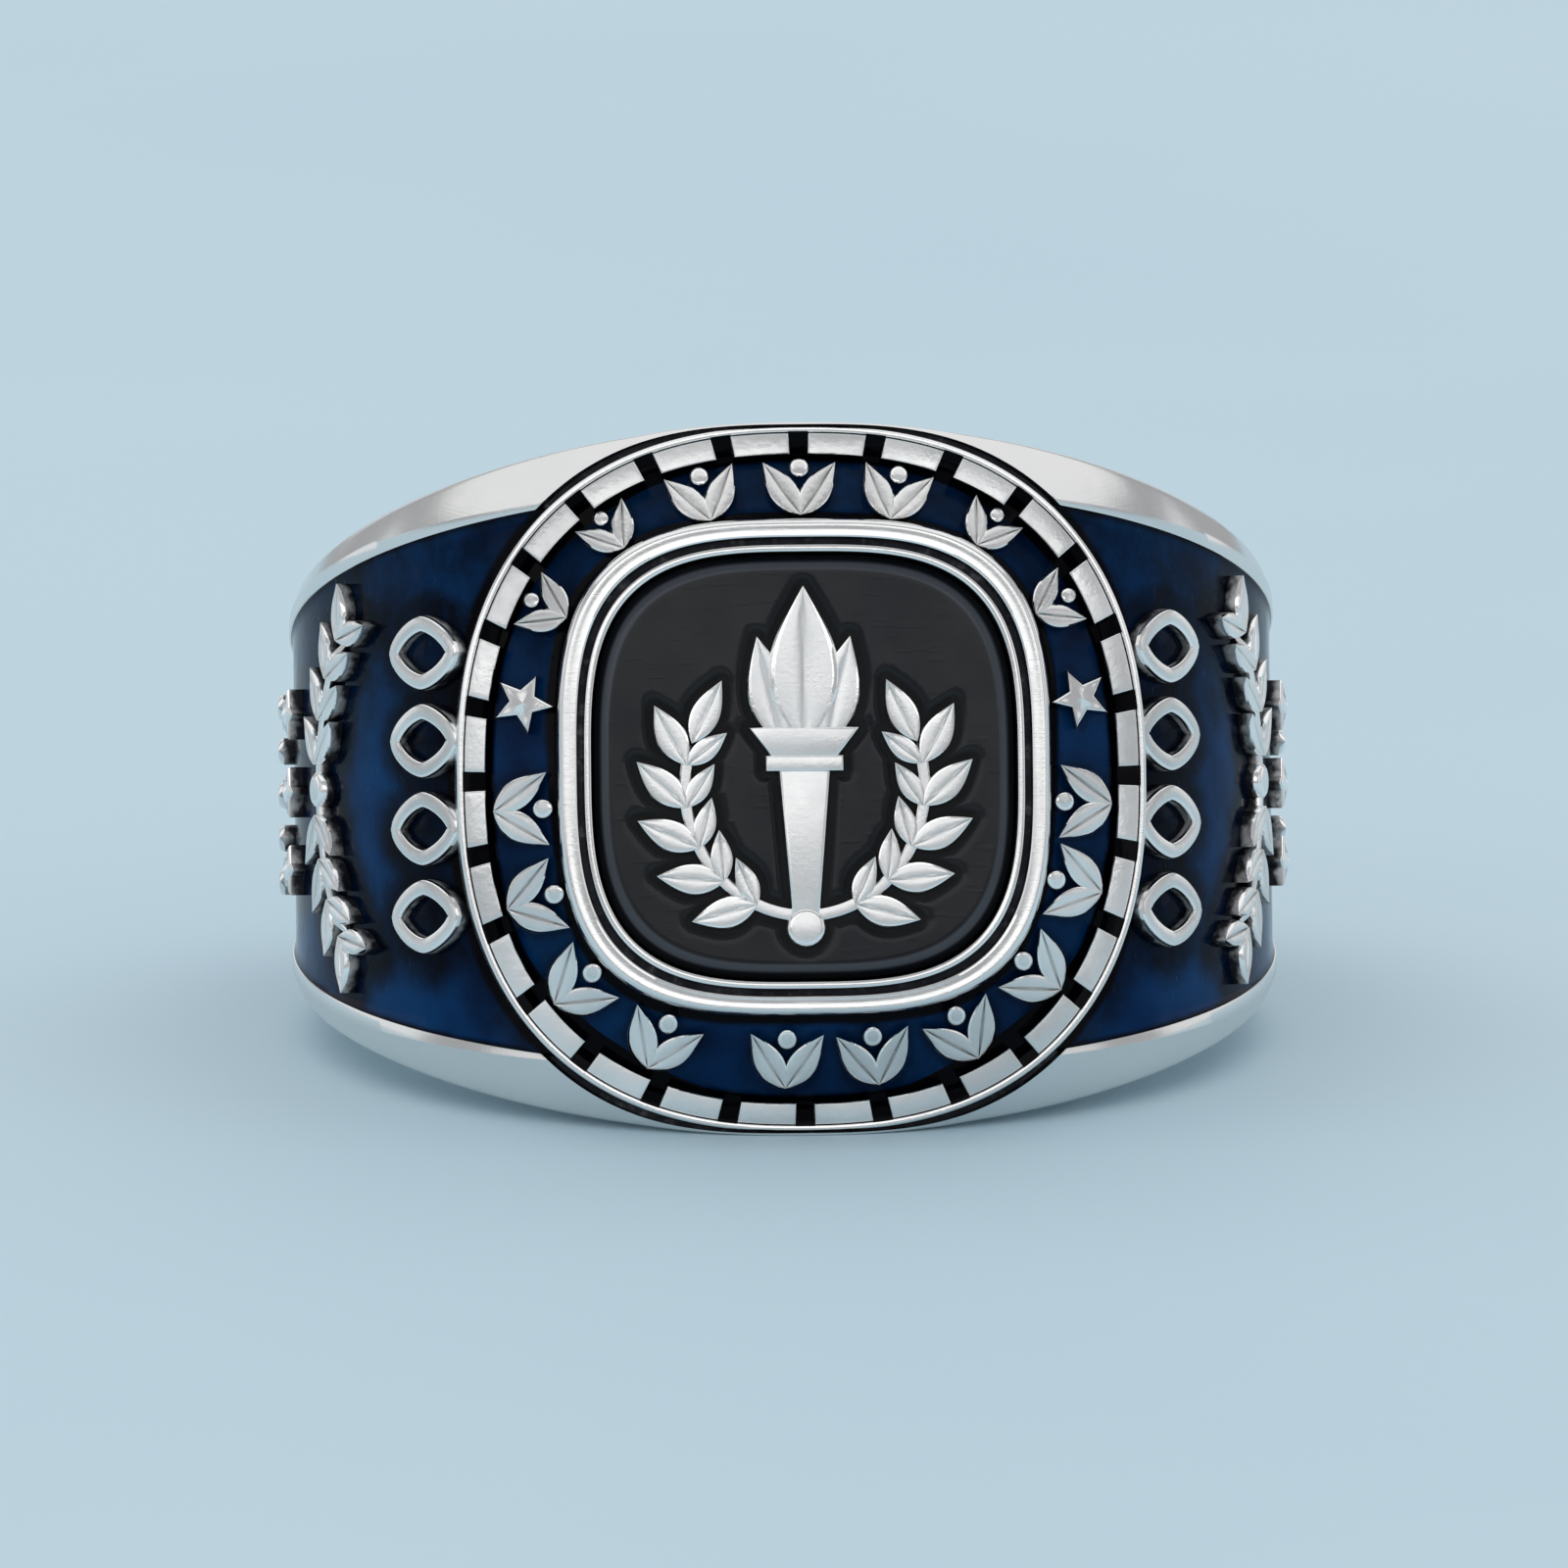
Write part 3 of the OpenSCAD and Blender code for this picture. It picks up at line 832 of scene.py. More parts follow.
@dataclass
class Work:
    """One mesh in the making, in mm in the ring's own frame.

    Attributes:
        name: The finished piece's name.
        bm: The mesh.
        rise: Its layer for the height over a motif's foot, as a share.
    """

    name: str
    bm: bmesh.types.BMesh = field(default_factory=bmesh.new)
    rise: bmesh.types.BMLayerItem = field(init=False)

    def __post_init__(self) -> None:
        """Gives the mesh its layer."""
        self.rise = self.bm.verts.layers.float.new("rise")

    def grid(
        self,
        columns: int,
        rows: int,
        place: Callable[[int, int], Vector],
        paint: Callable[[int, int], int] | None = None,
    ) -> list[Vert]:
        """Adds a grid whose corners are moved into shape.

        Args:
            columns: Number of cells one way.
            rows: Number of cells the other way.
            place: Gives the place of a corner from its column and row.
            paint: Gives the material slot of a cell from its column and row.

        Returns:
            The new vertices.
        """
        made = bmesh.ops.create_grid(self.bm, x_segments=columns, y_segments=rows, size=1)
        verts = made["verts"]
        if paint is not None:
            for face in faces_of(verts):
                mid = face.calc_center_median()
                column = int((mid.x + 1) / 2 * columns)
                row = int((mid.y + 1) / 2 * rows)
                face.material_index = paint(column, row)
        for v in verts:
            column = round((v.co.x + 1) / 2 * columns)
            row = round((v.co.y + 1) / 2 * rows)
            v.co = place(column, row)
        return verts

    def tube(
        self,
        columns: int,
        outline: Callable[[float, float, float], Vector],
        profile: Sequence[Corner],
    ) -> list[Vert]:
        """Adds a closed ring of one profile, carried round an outline.

        Args:
            columns: Number of cells round the ring.
            outline: Gives a point from an angle, an inset and a height.
            profile: Inset, height and material slot of each corner of the closed profile.

        Returns:
            The new vertices.
        """
        count = len(profile)

        def place(i: int, j: int) -> Vector:
            """The profile's corner in its column."""
            inset, high, _ = profile[j % count]
            return outline(TURN * (i % columns) / columns, inset, high)

        return self.weld(self.grid(columns, count, place, lambda i, j: profile[j][2]))

    def weld(self, verts: Sequence[Vert], near: float = 1e-4) -> list[Vert]:
        """Closes seams and poles.

        Args:
            verts: The vertices to join.
            near: Distance in mm under which two become one.

        Returns:
            The vertices that are left.
        """
        bmesh.ops.remove_doubles(self.bm, verts=verts, dist=near)
        return [v for v in verts if v.is_valid]

    def shade(self, dark: Callable[[Vector], float]) -> None:
        """Marks how dark a coat is at each vertex.

        Args:
            dark: Gives the darkness, from 0 to 1, at a point of the mesh.
        """
        layer = self.bm.verts.layers.float.new("shade")
        for v in self.bm.verts:
            v[layer] = dark(v.co)

    def done(
        self,
        seat: Seat,
        finishes: Sequence[Material],
        replaces: Sequence[str] = (),
        sharp: float = 32.0,
    ) -> Piece:
        """Turns the mesh into an object that lies in place and rides on the ring.

        Args:
            seat: How the ring lies.
            finishes: Materials in the order of the mesh's slots.
            replaces: CAD nodes that this piece stands for.
            sharp: Angle in degrees above which an edge stays sharp.

        Returns:
            The finished object.
        """
        bm = self.bm
        bmesh.ops.dissolve_degenerate(bm, dist=1e-5, edges=bm.edges[:])
        bmesh.ops.recalc_face_normals(bm, faces=bm.faces[:])
        limit = math.radians(sharp)
        for face in bm.faces:
            face.smooth = True
        for edge in bm.edges:
            edge.smooth = not edge.is_manifold or edge.calc_face_angle(0.0) < limit
        bmesh.ops.transform(bm, matrix=seat.matrix(), verts=bm.verts[:])
        mesh = bpy.data.meshes.new(self.name)
        bm.to_mesh(mesh)
        bm.free()
        for finish in finishes:
            mesh.materials.append(finish)
        obj = bpy.data.objects.new(self.name, mesh)
        bpy.context.scene.collection.objects.link(obj)
        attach(obj, "root")
        if replaces:
            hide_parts(*replaces)
        return obj


@dataclass
class Carving:
    """Motifs drawn on a plane, X and Y across it and Z up, and then bent onto the ring.

    Attributes:
        work: The mesh that the motifs join.
        top: Height of their tops over the drawing.
        foot: Height of their feet, under the drawing.
        feet: Points along their feet on the ring, for the painted shade round them and the
            tablet's trench.
        foot_step: Distance between those points.
    """

    work: Work
    top: float
    foot: float
    feet: list[Vector] = field(default_factory=list)
    foot_step: float = 0.05

    def settle(self, verts: Iterable[Vert], place: Matrix, bend: Bend) -> None:
        """Puts a motif in its place on the drawing and bends it onto the ring.

        Args:
            verts: The motif's vertices.
            place: Its place on the drawing.
            bend: Turns a point of the drawing into one of the ring.
        """
        verts = [v for v in verts if v.is_valid]
        low = min(v.co.z for v in verts)
        rise = self.work.rise
        for v in verts:
            v[rise] = min(1.0, max(0.0, (v.co.z - low) / (self.top - self.foot)))
        bmesh.ops.transform(self.work.bm, matrix=place, verts=verts)
        for edge in edges_of(verts):
            a, b = (v.co for v in edge.verts)
            if max(a.z, b.z) < low + 0.02:
                steps = max(1, int((b - a).length / self.foot_step))
                self.feet += [bend(a.lerp(b, k / steps)) for k in range(steps)]
        for v in verts:
            v.co = bend(v.co)

    def paint(self, verts: Iterable[Vert], level: float = 0.96, steep: float = 0.2) -> None:
        """Gives the flat tops, the rubbed edges with their painted highlight, and the dark
        walls their slots.

        Args:
            verts: The motif's vertices.
            level: Upright part of the normal over which a face counts as a top.
            steep: Upright part under which it counts as a wall.
        """
        for face in faces_of(v for v in verts if v.is_valid):
            face.normal_update()
            up = abs(face.normal.z)
            face.material_index = (
                Layer.TOP if up > level else Layer.EDGE if up > steep else Layer.WALL
            )

    def prism(
        self,
        outline: Sequence[tuple[float, float]],
        place: Matrix,
        bend: Bend,
        top: float | None = None,
        edge: float = 0.07,
        dome: float = 0.0,
    ) -> None:
        """Adds a flat motif with a bevelled edge.

        Args:
            outline: Its corners, counterclockwise.
            place: Its place on the drawing.
            bend: Turns a point of the drawing into one of the ring.
            top: Height of its top, if not the carving's own.
            edge: Width of the bevel.
            dome: How far the middle stands over the edge of the top.
        """
        bm = self.work.bm
        high = self.top if top is None else top
        face = bm.faces.new([bm.verts.new((x, y, self.foot)) for x, y in outline])
        raised = bmesh.ops.extrude_face_region(bm, geom=[face])
        crown = verts_in(raised["geom"])
        bmesh.ops.translate(bm, vec=(0, 0, high - self.foot), verts=crown)
        verts = set(face.verts) | set(crown)
        rim = [e for e in edges_of(crown) if all(v in crown for v in e.verts)]
        bevelled = bmesh.ops.bevel(
            bm, geom=rim, offset=edge, offset_type="OFFSET", segments=3, profile=0.5,
            affect="EDGES", clamp_overlap=True, material=-1,
        )
        verts |= set(bevelled["verts"])
        verts = {v for v in verts if v.is_valid}
        lids = [f for f in faces_of(verts) if min(v.co.z for v in f.verts) > high - 1e-5]
        if dome > 0 and lids:
            poked = bmesh.ops.poke(bm, faces=lids, offset=dome)
            verts |= set(poked["verts"])
        self.paint(verts)
        self.settle(verts, place, bend)

    def leaf(
        self,
        long: float,
        wide: float,
        place: Matrix,
        bend: Bend,
        top: float | None = None,
        vein: float = 0.13,
        edge: float = 0.14,
    ) -> None:
        """Adds a pointed leaf with rounded halves and a sunk midrib.

        Args:
            long: Its length, along Y.
            wide: Its greatest width.
            place: Its place on the drawing.
            bend: Turns a point of the drawing into one of the ring.
            top: Height of its halves, if not the carving's own.
            vein: Depth of the midrib.
            edge: Fall of the rubbed edge.
        """
        high = self.top if top is None else top
        # Place across half the leaf, from its edge to the midrib, and fall from its top.
        section = (
            (1.0, edge), (0.93, 0.4 * edge), (0.8, 0.02), (0.45, 0.0), (0.13, 0.25 * vein),
        )
        across = [(-x, drop) for x, drop in section] + [(0.0, vein), *reversed(section)]
        columns, rows = 14, len(across) - 1

        def put(i: int, j: int) -> Vector:
            """Finds a corner of the leaf.

            Args:
                i: Its column, from the stalk to the tip.
                j: Its row, from side to side.

            Returns:
                Its place on the drawing.
            """
            u = i / columns
            aside, drop = across[j]
            half = wide / 2 * math.sin(math.pi * u**0.85)
            fall = drop * min(1.0, half / (0.2 * wide)) + 0.05 * max(0.0, u - 0.75) * 4 * edge
            return Vector((half * aside, long * u, high - fall))

        def slot(i: int, j: int) -> int:
            """The rubbed edge, with its painted highlight, for the two outer cells of each
            side.
            """
            return Layer.EDGE if min(j, rows - 1 - j) < 2 else Layer.TOP

        work = self.work
        verts = work.weld(work.grid(columns, rows, put, slot))
        rim = [e for e in edges_of(verts) if e.is_boundary]
        walls = bmesh.ops.extrude_edge_only(work.bm, edges=rim)
        low = verts_in(walls["geom"])
        for v in low:
            v.co.z = self.foot
        for face in faces_of(low):
            face.material_index = Layer.WALL
        loop = [e for e in edges_of(low) if e.is_boundary]
        bmesh.ops.edgeloop_fill(work.bm, edges=loop, mat_nr=Layer.WALL)
        self.settle(verts + low, place, bend)

    def bead(
        self, r: float, place: Matrix, bend: Bend, top: float | None = None, edge: float = 0.4
    ) -> None:
        """Adds a low round boss.

        Args:
            r: Its radius.
            place: Its place on the drawing.
            bend: Turns a point of the drawing into one of the ring.
            top: Height of its top, if not the carving's own.
            edge: Share of its radius that is rounded off.
        """
        high = self.top if top is None else top
        fall = edge * r
        profile = [(r, self.foot), (r, high - fall)]
        for k in range(1, 5):
            angle = math.pi / 8 * k
            profile.append(
                (r - fall * (1 - math.cos(angle)), high - fall * (1 - math.sin(angle)))
            )
        profile += [(r * (1 - edge) * 0.5, high + 0.02), (0.0, high + 0.03)]
        layers = (Layer.WALL, *[Layer.EDGE] * 4, Layer.TOP, Layer.TOP)
        columns = 20

        def put(i: int, j: int) -> Vector:
            """Finds a corner of the boss.

            Args:
                i: Its column.
                j: Its place in the profile.

            Returns:
                Its place on the drawing.
            """
            reach, z = profile[j]
            angle = TURN * (i % columns) / columns
            return Vector((reach * math.cos(angle), reach * math.sin(angle), z))

        work = self.work
        verts = work.weld(work.grid(columns, len(profile) - 1, put, lambda i, j: layers[j]))
        rim = [e for e in edges_of(verts) if e.is_boundary]
        bmesh.ops.edgeloop_fill(work.bm, edges=rim, mat_nr=Layer.WALL)
        self.settle(verts, place, bend)

    def band(
        self,
        line: Line,
        wide: float,
        place: Matrix,
        bend: Bend,
        columns: int,
        closed: bool = False,
        top: float | None = None,
    ) -> None:
        """Adds a raised band along a line, pointed at its ends unless it closes.

        Args:
            line: Gives the point and the sideways direction at a share of the line.
            wide: Its width.
            place: Its place on the drawing.
            bend: Turns a point of the drawing into one of the ring.
            columns: Number of cells along it.
            closed: Whether its ends meet.
            top: Height of its top, if not the carving's own.
        """
        high = self.top if top is None else top
        deep = high - self.foot
        # Place across as a share of the width, height over the foot, and slot.
        section = (
            (-0.5, 0.0, Layer.WALL), (-0.5, deep - 0.13, Layer.EDGE),
            (-0.44, deep - 0.05, Layer.EDGE), (-0.3, deep - 0.01, Layer.TOP),
            (0.0, deep, Layer.TOP), (0.3, deep - 0.01, Layer.EDGE),
            (0.44, deep - 0.05, Layer.EDGE), (0.5, deep - 0.13, Layer.WALL),
            (0.5, 0.0, Layer.WALL),
        )
        count = len(section)
        tip_height, tip_rate = 0.35, 12

        def put(i: int, j: int) -> Vector:
            """Finds a corner of the band.

            Args:
                i: Its column, along the line.
                j: Its place in the section.

            Returns:
                Its place on the drawing.
            """
            share = (i % columns) / columns if closed else i / columns
            middle, aside = line(share)
            taper = 1.0 if closed else min(1.0, tip_rate * min(share, 1 - share))
            off, up, _ = section[j % count]
            point = middle + aside * (off * wide * taper)
            z = self.foot + up * (tip_height + (1 - tip_height) * taper)
            return Vector((point.x, point.y, z))

        work = self.work
        verts = work.weld(work.grid(columns, count, put, lambda i, j: section[j][2]))
        self.settle(verts, place, bend)


@dataclass
class SubAssembly:
    """What every sub-assembly of the ring is made with.

    Attributes:
        form: The ring's shared sizes.
        seat: How the ring lies.
        finishes: All materials.
    """

    form: RingForm
    seat: Seat
    finishes: Finishes

    def build(self) -> list[Piece]:
        """Builds the sub-assembly, which each class does in its own way.

        Returns:
            Its pieces.
        """
        raise NotImplementedError

    def turned(self, work: Work) -> Piece:
        """Finishes a turned rim with its dark groove."""
        return work.done(self.seat, [self.finishes.rim, self.finishes.oxide])

    def carved(self, work: Work) -> Piece:
        """Finishes a cast relief with rubbed edges, lighter as a painted highlight, and dark
        walls.
        """
        f = self.finishes
        return work.done(self.seat, [f.cast, f.edge, f.oxide])


@dataclass
class Shank(SubAssembly):
    """The band round the finger, with its rails, side faces and panel recesses.

    Attributes:
        edge_round: Rounding between the side faces and the outside.
        bore_round: Rounding of the finger hole's edge.
        lip: Bevel along the recesses.
        moat: Width of the dark groove round the bezel.
        moat_swell: How much it widens where the rails meet the bezel.
        moat_end: Angle in radians from the face at which that ends.
        moat_depth: Depth of the groove.
        floor_depth: Depth of the panels' recess.
        under_face: Distance from the shank's centre line to the ground under the face.
    """

    edge_round: float = 0.12
    bore_round: float = 0.32
    lip: float = 0.05
    moat: float = 0.03
    moat_swell: float = 0.17
    moat_end: float = 0.9
    moat_depth: float = 0.24
    floor_depth: float = 0.5
    under_face: float = 9.9

    def side_at(self, phi: float, rho: float) -> float:
        """Half height of the swept sides at a radius from the shank's centre line."""
        f = self.form
        return f.side_z(-f.shank_lead - rho * math.cos(phi))

    def edge_z(self, phi: float, guess: float = 6.0, rounds: int = 12) -> float:
        """Finds where the outside meets the swept side.

        Args:
            phi: Angle in radians from the face.
            guess: The height to start from.
            rounds: Number of steps towards the meeting.

        Returns:
            The height along the finger.
        """
        edge = self.side_at(phi, self.form.outside(phi, guess))
        for _ in range(rounds):
            edge = self.side_at(phi, self.form.outside(phi, edge))
        return edge

    def oval_z(self, phi: float, edge: float, grow: float) -> float:
        """Finds where the shank's outside meets the bezel's outline.

        Args:
            phi: Angle in radians from the face.
            edge: Height of the shank's edge there.
            grow: How far the outline is grown.

        Returns:
            The height along the finger, or 0 if they don't meet.
        """
        f = self.form
        s = math.sin(phi)
        if abs(s) * f.outside(phi, 0) > f.oval_half_w + grow or math.cos(phi) < 0:
            return 0.0
        return bisect(0.0, edge, lambda z: f.oval_share(f.outside(phi, z) * s, z, grow) < 1)[0]

    def land_z(self, phi: float, low: float, high: float) -> float:
        """Finds where the ball turns into the shank's round.

        Args:
            phi: Angle in radians from the face.
            low: Least height.
            high: Greatest height.

        Returns:
            The height along the finger, or the least one if all of it is ball.
        """
        f = self.form
        return bisect(low, high, lambda z: f.outside(phi, z) >= f.shank_r - HAIR)[0]

    def hole(self, phi: float) -> list[Corner]:
        """Draws the finger hole's wall and its rounded edge.

        Args:
            phi: Angle in radians from the face.

        Returns:
            Radius, height and material slot of each corner.
        """
        bore, r = self.form.bore_rho(phi), self.bore_round
        top = self.side_at(phi, bore + r)
        corners = [(bore, 0.0), (bore, (top - r) * 0.5)]
        for k in range(6):
            a = math.pi / 10 * k
            corners.append((bore + r * (1 - math.cos(a)), top - r * (1 - math.sin(a))))
        return [(rho, z, Zone.INSIDE) for rho, z in corners]

    def rail(self, phi: float, edge: float, stop: float, lip: float) -> list[Corner]:
        """Draws the side face, the rounded edge and the rail.

        Args:
            phi: Angle in radians from the face.
            edge: Height of the edge between side face and outside.
            stop: Height at which the rail ends.
            lip: Width of the bevel there.

        Returns:
            Radius, height and material slot of each corner.
        """
        f = self.form
        edge_round = min(self.edge_round, 0.4 * (edge - stop))
        corner = f.outside(phi, edge)
        inner, outer = f.bore_rho(phi) + self.bore_round, corner - edge_round
        corners = []
        for k in range(4):
            rho = inner + (outer - inner) * k / 4
            corners.append((rho, self.side_at(phi, rho)))
        first, middle = Vector((outer, self.side_at(phi, outer))), Vector((corner, edge))
        start = edge - edge_round
        last = Vector((f.outside(phi, start), start))
        for k in range(4):
            t = k / 4
            p = first.lerp(middle, t).lerp(middle.lerp(last, t), t)
            corners.append((p.x, p.y))
        land = self.land_z(phi, stop + lip, start)
        for k in range(10):
            z = start + (land - start) * k / 9
            corners.append((f.outside(phi, z), z))
        corners.append((f.outside(phi, stop + lip), stop + lip))
        corners.append((f.outside(phi, stop) - 0.25 * lip, stop + 0.25 * lip))
        return [(rho, z, Zone.RAIL) for rho, z in corners]

    def recess(
        self, phi: float, edge: float, stop: float, lip: float, deep: float
    ) -> list[Corner]:
        """Draws the recess that the rail ends at, down to the middle of the ring.

        Args:
            phi: Angle in radians from the face.
            edge: Height of the edge between side face and outside.
            stop: Height at which the recess starts.
            lip: Width of the bevel there.
            deep: Depth of the recess.

        Returns:
            Radius, height and material slot of each corner.
        """
        rho = self.form.outside(phi, stop)
        under = min(max(0.0, self.oval_z(phi, edge, -0.15)), max(0.0, stop - 0.02))
        low = rho - deep
        corners = [(rho - lip, stop), (low, max(0.0, stop - 0.01)), (low, under)]
        if math.cos(phi) > 0 and under > 0:
            low = min(low, self.under_face / math.cos(phi))
        corners.append((low, max(0.0, min(under - 0.02, self.side_at(phi, low) - 0.1))))
        corners.append((low, 0.0))
        return [(r, z, Zone.RECESS) for r, z in corners]

    def section(self, phi: float) -> list[Corner]:
        """Draws the upper half of the cross-section, from the finger hole to the outside.

        Args:
            phi: Angle in radians from the face.

        Returns:
            Radius, height and material slot of each corner.
        """
        edge = self.edge_z(phi)
        swell = math.sin(math.pi * min(1.0, phi / self.moat_end))
        rim = self.oval_z(phi, edge, self.moat + self.moat_swell * swell**2)
        panel = self.form.panel_edge(phi)
        stop = max(rim, panel)
        lip = min(self.lip, 0.2 * (edge - stop)) if stop > 0 else 0.0
        deep = self.floor_depth if panel > rim else self.moat_depth
        if stop <= 0:
            deep = 0.0
        return [
            *self.hole(phi),
            *self.rail(phi, edge, stop, lip),
            *self.recess(phi, edge, stop, lip, deep),
        ]

    def angles(self, least: float = 2e-4) -> list[float]:
        """Chooses the cross-sections, closer together where an outline turns.

        Args:
            least: Angle under which two would be one.

        Returns:
            Their angles in radians, all round the ring.
        """
        f = self.form
        half = [math.radians(k) for k in range(0, 181)]
        half += [
            f.panel_phi(f.panel_turn + f.panel_end * math.sin(math.radians(5 * k)))
            for k in range(19)
        ]
        # Quarter degrees where the bezel's outline runs into the panels.
        half += [math.radians(26 + 0.25 * k) for k in range(30)]
        half = sorted(set(round(a, 6) for a in half))
        kept = [half[0]]
        for a in half[1:]:
            if a - kept[-1] > least:
                kept.append(a)
        return kept + [TURN - a for a in reversed(kept[1:-1])]

    def build(self) -> list[Piece]:
        """Builds the closed body of the shank.

        Returns:
            The one piece.
        """
        f = self.form
        angles = self.angles()
        known: dict[float, list[Corner]] = {}
        sections = []
        for phi in angles:
            folded = round(min(phi, TURN - phi), 7)
            if folded not in known:
                known[folded] = self.section(folded)
            sections.append(known[folded])
        half = len(sections[0]) - 1

        def place(i: int, j: int) -> Vector:
            """Finds a corner of the body.

            Args:
                i: The cross-section that it lies in.
                j: Its place in it, mirrored for the lower half.

            Returns:
                Its place on the ring.
            """
            i, j = i % len(angles), j % (2 * half)
            rho, z, _ = sections[i][j if j <= half else 2 * half - j]
            return f.at(angles[i], rho, z if j <= half else -z)

        def paint(_: int, j: int) -> int:
            """The slot that the section gives, mirrored for the lower half."""
            return sections[0][j if j < half else 2 * half - 1 - j][2]

        work = Work("shank_body")
        work.weld(work.grid(len(angles), 2 * half, place, paint))
        coats = [self.finishes.mirror, self.finishes.inside, self.finishes.oxide]
        body = work.done(self.seat, coats, replaces=["shank"], sharp=28)
        return [body]


@dataclass
class Bezel(SubAssembly):
    """The oval head: drum, notched border, and the cushion frame round the tablet.

    Attributes:
        notches: Number of notches in the border.
        notch_w: Width of a notch.
        lean: How much the blocks lean outwards over their width.
        groove: Gap between rim and blocks, under 0 where they overlap.
        cover: Least silver between the drum and the finger hole.
        clear: Gap between the drum and the swept sides.
        drum_foot: Height of the drum's lower edge.
        frame_foot: Height of the frame's lower edge.
        block_depth: How far the blocks reach down.
        block_edge: Bevel of the blocks.
        steps: Number of cells round a turned piece.
    """

    notches: int = 28
    notch_w: float = 0.46
    lean: float = 0.13
    groove: float = -0.012
    cover: float = 0.3
    clear: float = 0.04
    drum_foot: float = 9.5
    frame_foot: float = 11.6
    block_depth: float = 0.55
    block_edge: float = 0.06
    steps: int = 288

    @staticmethod
    def coat(slot: Coat, *corners: tuple[float, float]) -> list[Corner]:
        """Corners of a profile, as inset and height, that share one slot."""
        return [(inset, high, slot) for inset, high in corners]

    def trimmed(self, a: float, inset: float, high: float) -> Vector:
        """Keeps a point on the oval inside the swept sides and clear of the finger hole.

        Args:
            a: Angle in radians round the face.
            inset: How far the outline is drawn in.
            high: Height over the finger hole's axis.

        Returns:
            The point in the ring's own frame.
        """
        f = self.form
        p = f.on_oval(a, inset, high)
        hole = math.sqrt(max(0.0, f.finger_r**2 - p.x**2)) + self.cover
        y = min(p.y, -hole)
        limit = f.side_z(y) - self.clear
        return Vector((p.x, y, max(-limit, min(limit, p.z))))

    def drum(self) -> Piece:
        """Builds the drum's wall and plain rim, and the seat under the enamel.

        Returns:
            The piece.
        """
        top, foot = self.form.border_top, self.drum_foot
        wall = top - 0.12 - foot
        steps = [(0.0, foot + wall * math.sin(math.pi / 16 * k)) for k in range(9)]
        profile = self.coat(
            Coat.POLISH, *steps, (0.015, top - 0.07), (0.05, top - 0.03), (0.09, top - 0.02),
            (0.14, top - 0.03),
        )
        profile += self.coat(
            Coat.DARK, (0.165, top - 0.07), (0.18, top - 0.3), (0.9, top - 0.7),
            (0.9, foot + 0.45), (0.5, foot + 0.2),
        )
        work = Work("bezel_drum")
        work.tube(self.steps, self.trimmed, profile)
        return self.turned(work)

    def border(self) -> Piece:
        """Builds the blocks between the notches.

        Returns:
            The piece.
        """
        f = self.form
        work = Work("bezel_blocks")
        carving = Carving(work, top=0.0, foot=-self.block_depth)
        wide = f.border_w - f.border_rim - self.groove
        middle = f.border_rim + self.groove + wide / 2
        for k in range(self.notches):
            start, stop = (TURN * (k + s) / self.notches for s in (0, 1))
            mean = (start + stop) / 2
            r = f.reach(mean, f.oval_half_w - middle, f.oval_half_h - middle, f.oval_power)
            half = r * (stop - start) / 2 - self.notch_w / 2
            self.block(carving, half, wide, mean, r, middle)
        return self.carved(work)

    def block(
        self, carving: Carving, half: float, wide: float, mean: float, r: float, middle: float
    ) -> None:
        """Adds one block: a bevelled bar that is bent along the oval.

        Args:
            carving: The carving that it joins.
            half: Half its length.
            wide: Its width.
            mean: Its angle in radians round the face.
            r: Radius of its middle.
            middle: Inset of its middle from the oval's outline.
        """
        f = self.form
        bm = carving.work.bm
        cube = bmesh.ops.create_cube(bm, size=1)
        verts = cube["verts"]
        bmesh.ops.scale(bm, vec=(2 * half, wide, -carving.foot), verts=verts)
        bmesh.ops.translate(bm, vec=(0, 0, carving.foot / 2), verts=verts)
        rim = [e for e in edges_of(verts) if all(v.co.z > -HAIR for v in e.verts)]
        bevelled = bmesh.ops.bevel(
            bm, geom=rim, offset=self.block_edge, offset_type="OFFSET", segments=3,
            profile=0.5, affect="EDGES", clamp_overlap=True, material=-1,
        )
        verts = {v for v in [*verts, *bevelled["verts"]] if v.is_valid}
        carving.paint(verts)
        for k in range(-3, 4):
            geom = [*verts, *edges_of(verts), *faces_of(verts)]
            cut = bmesh.ops.bisect_plane(
                bm, geom=geom, dist=HAIR, plane_co=(half * k / 4, 0, 0), plane_no=(1, 0, 0)
            )
            verts |= set(verts_in(cut["geom_cut"]))

        def bend(p: Vector) -> Vector:
            """Lays a point of the bar along the oval."""
            high = f.border_top + p.z - self.lean * (p.y / wide)
            return f.on_oval(mean + p.x / r, middle - p.y, high)

        carving.settle(verts, Matrix.Identity(4), bend)

    def frame(self) -> Piece:
        """Builds the polished cushion frame with its groove and inner rim.

        Returns:
            The piece.
        """
        top, foot = self.form.rim_top, self.frame_foot
        outer_rim = self.coat(
            Coat.POLISH, (0.0, foot), (0.0, top - 0.36), (0.012, top - 0.22),
            (0.04, top - 0.12), (0.08, top - 0.05), (0.125, top - 0.01), (0.17, top),
            (0.24, top - 0.012), (0.32, top - 0.016), (0.39, top - 0.006), (0.43, top),
            (0.47, top - 0.02), (0.492, top - 0.06),
        )
        groove = self.coat(
            Coat.DARK, (0.5, top - 0.11), (0.505, top - 0.3), (0.655, top - 0.3)
        )
        inner_rim = self.coat(
            Coat.POLISH, (0.66, top - 0.14), (0.675, top - 0.085), (0.72, top - 0.06),
            (0.79, top - 0.06), (0.835, top - 0.085),
        )
        hidden = self.coat(Coat.DARK, (0.855, top - 0.14), (0.865, foot + 1.3), (0.5, foot))
        work = Work("cushion_frame")
        work.tube(self.steps, self.form.on_cushion, outer_rim + groove + inner_rim + hidden)
        return self.turned(work)

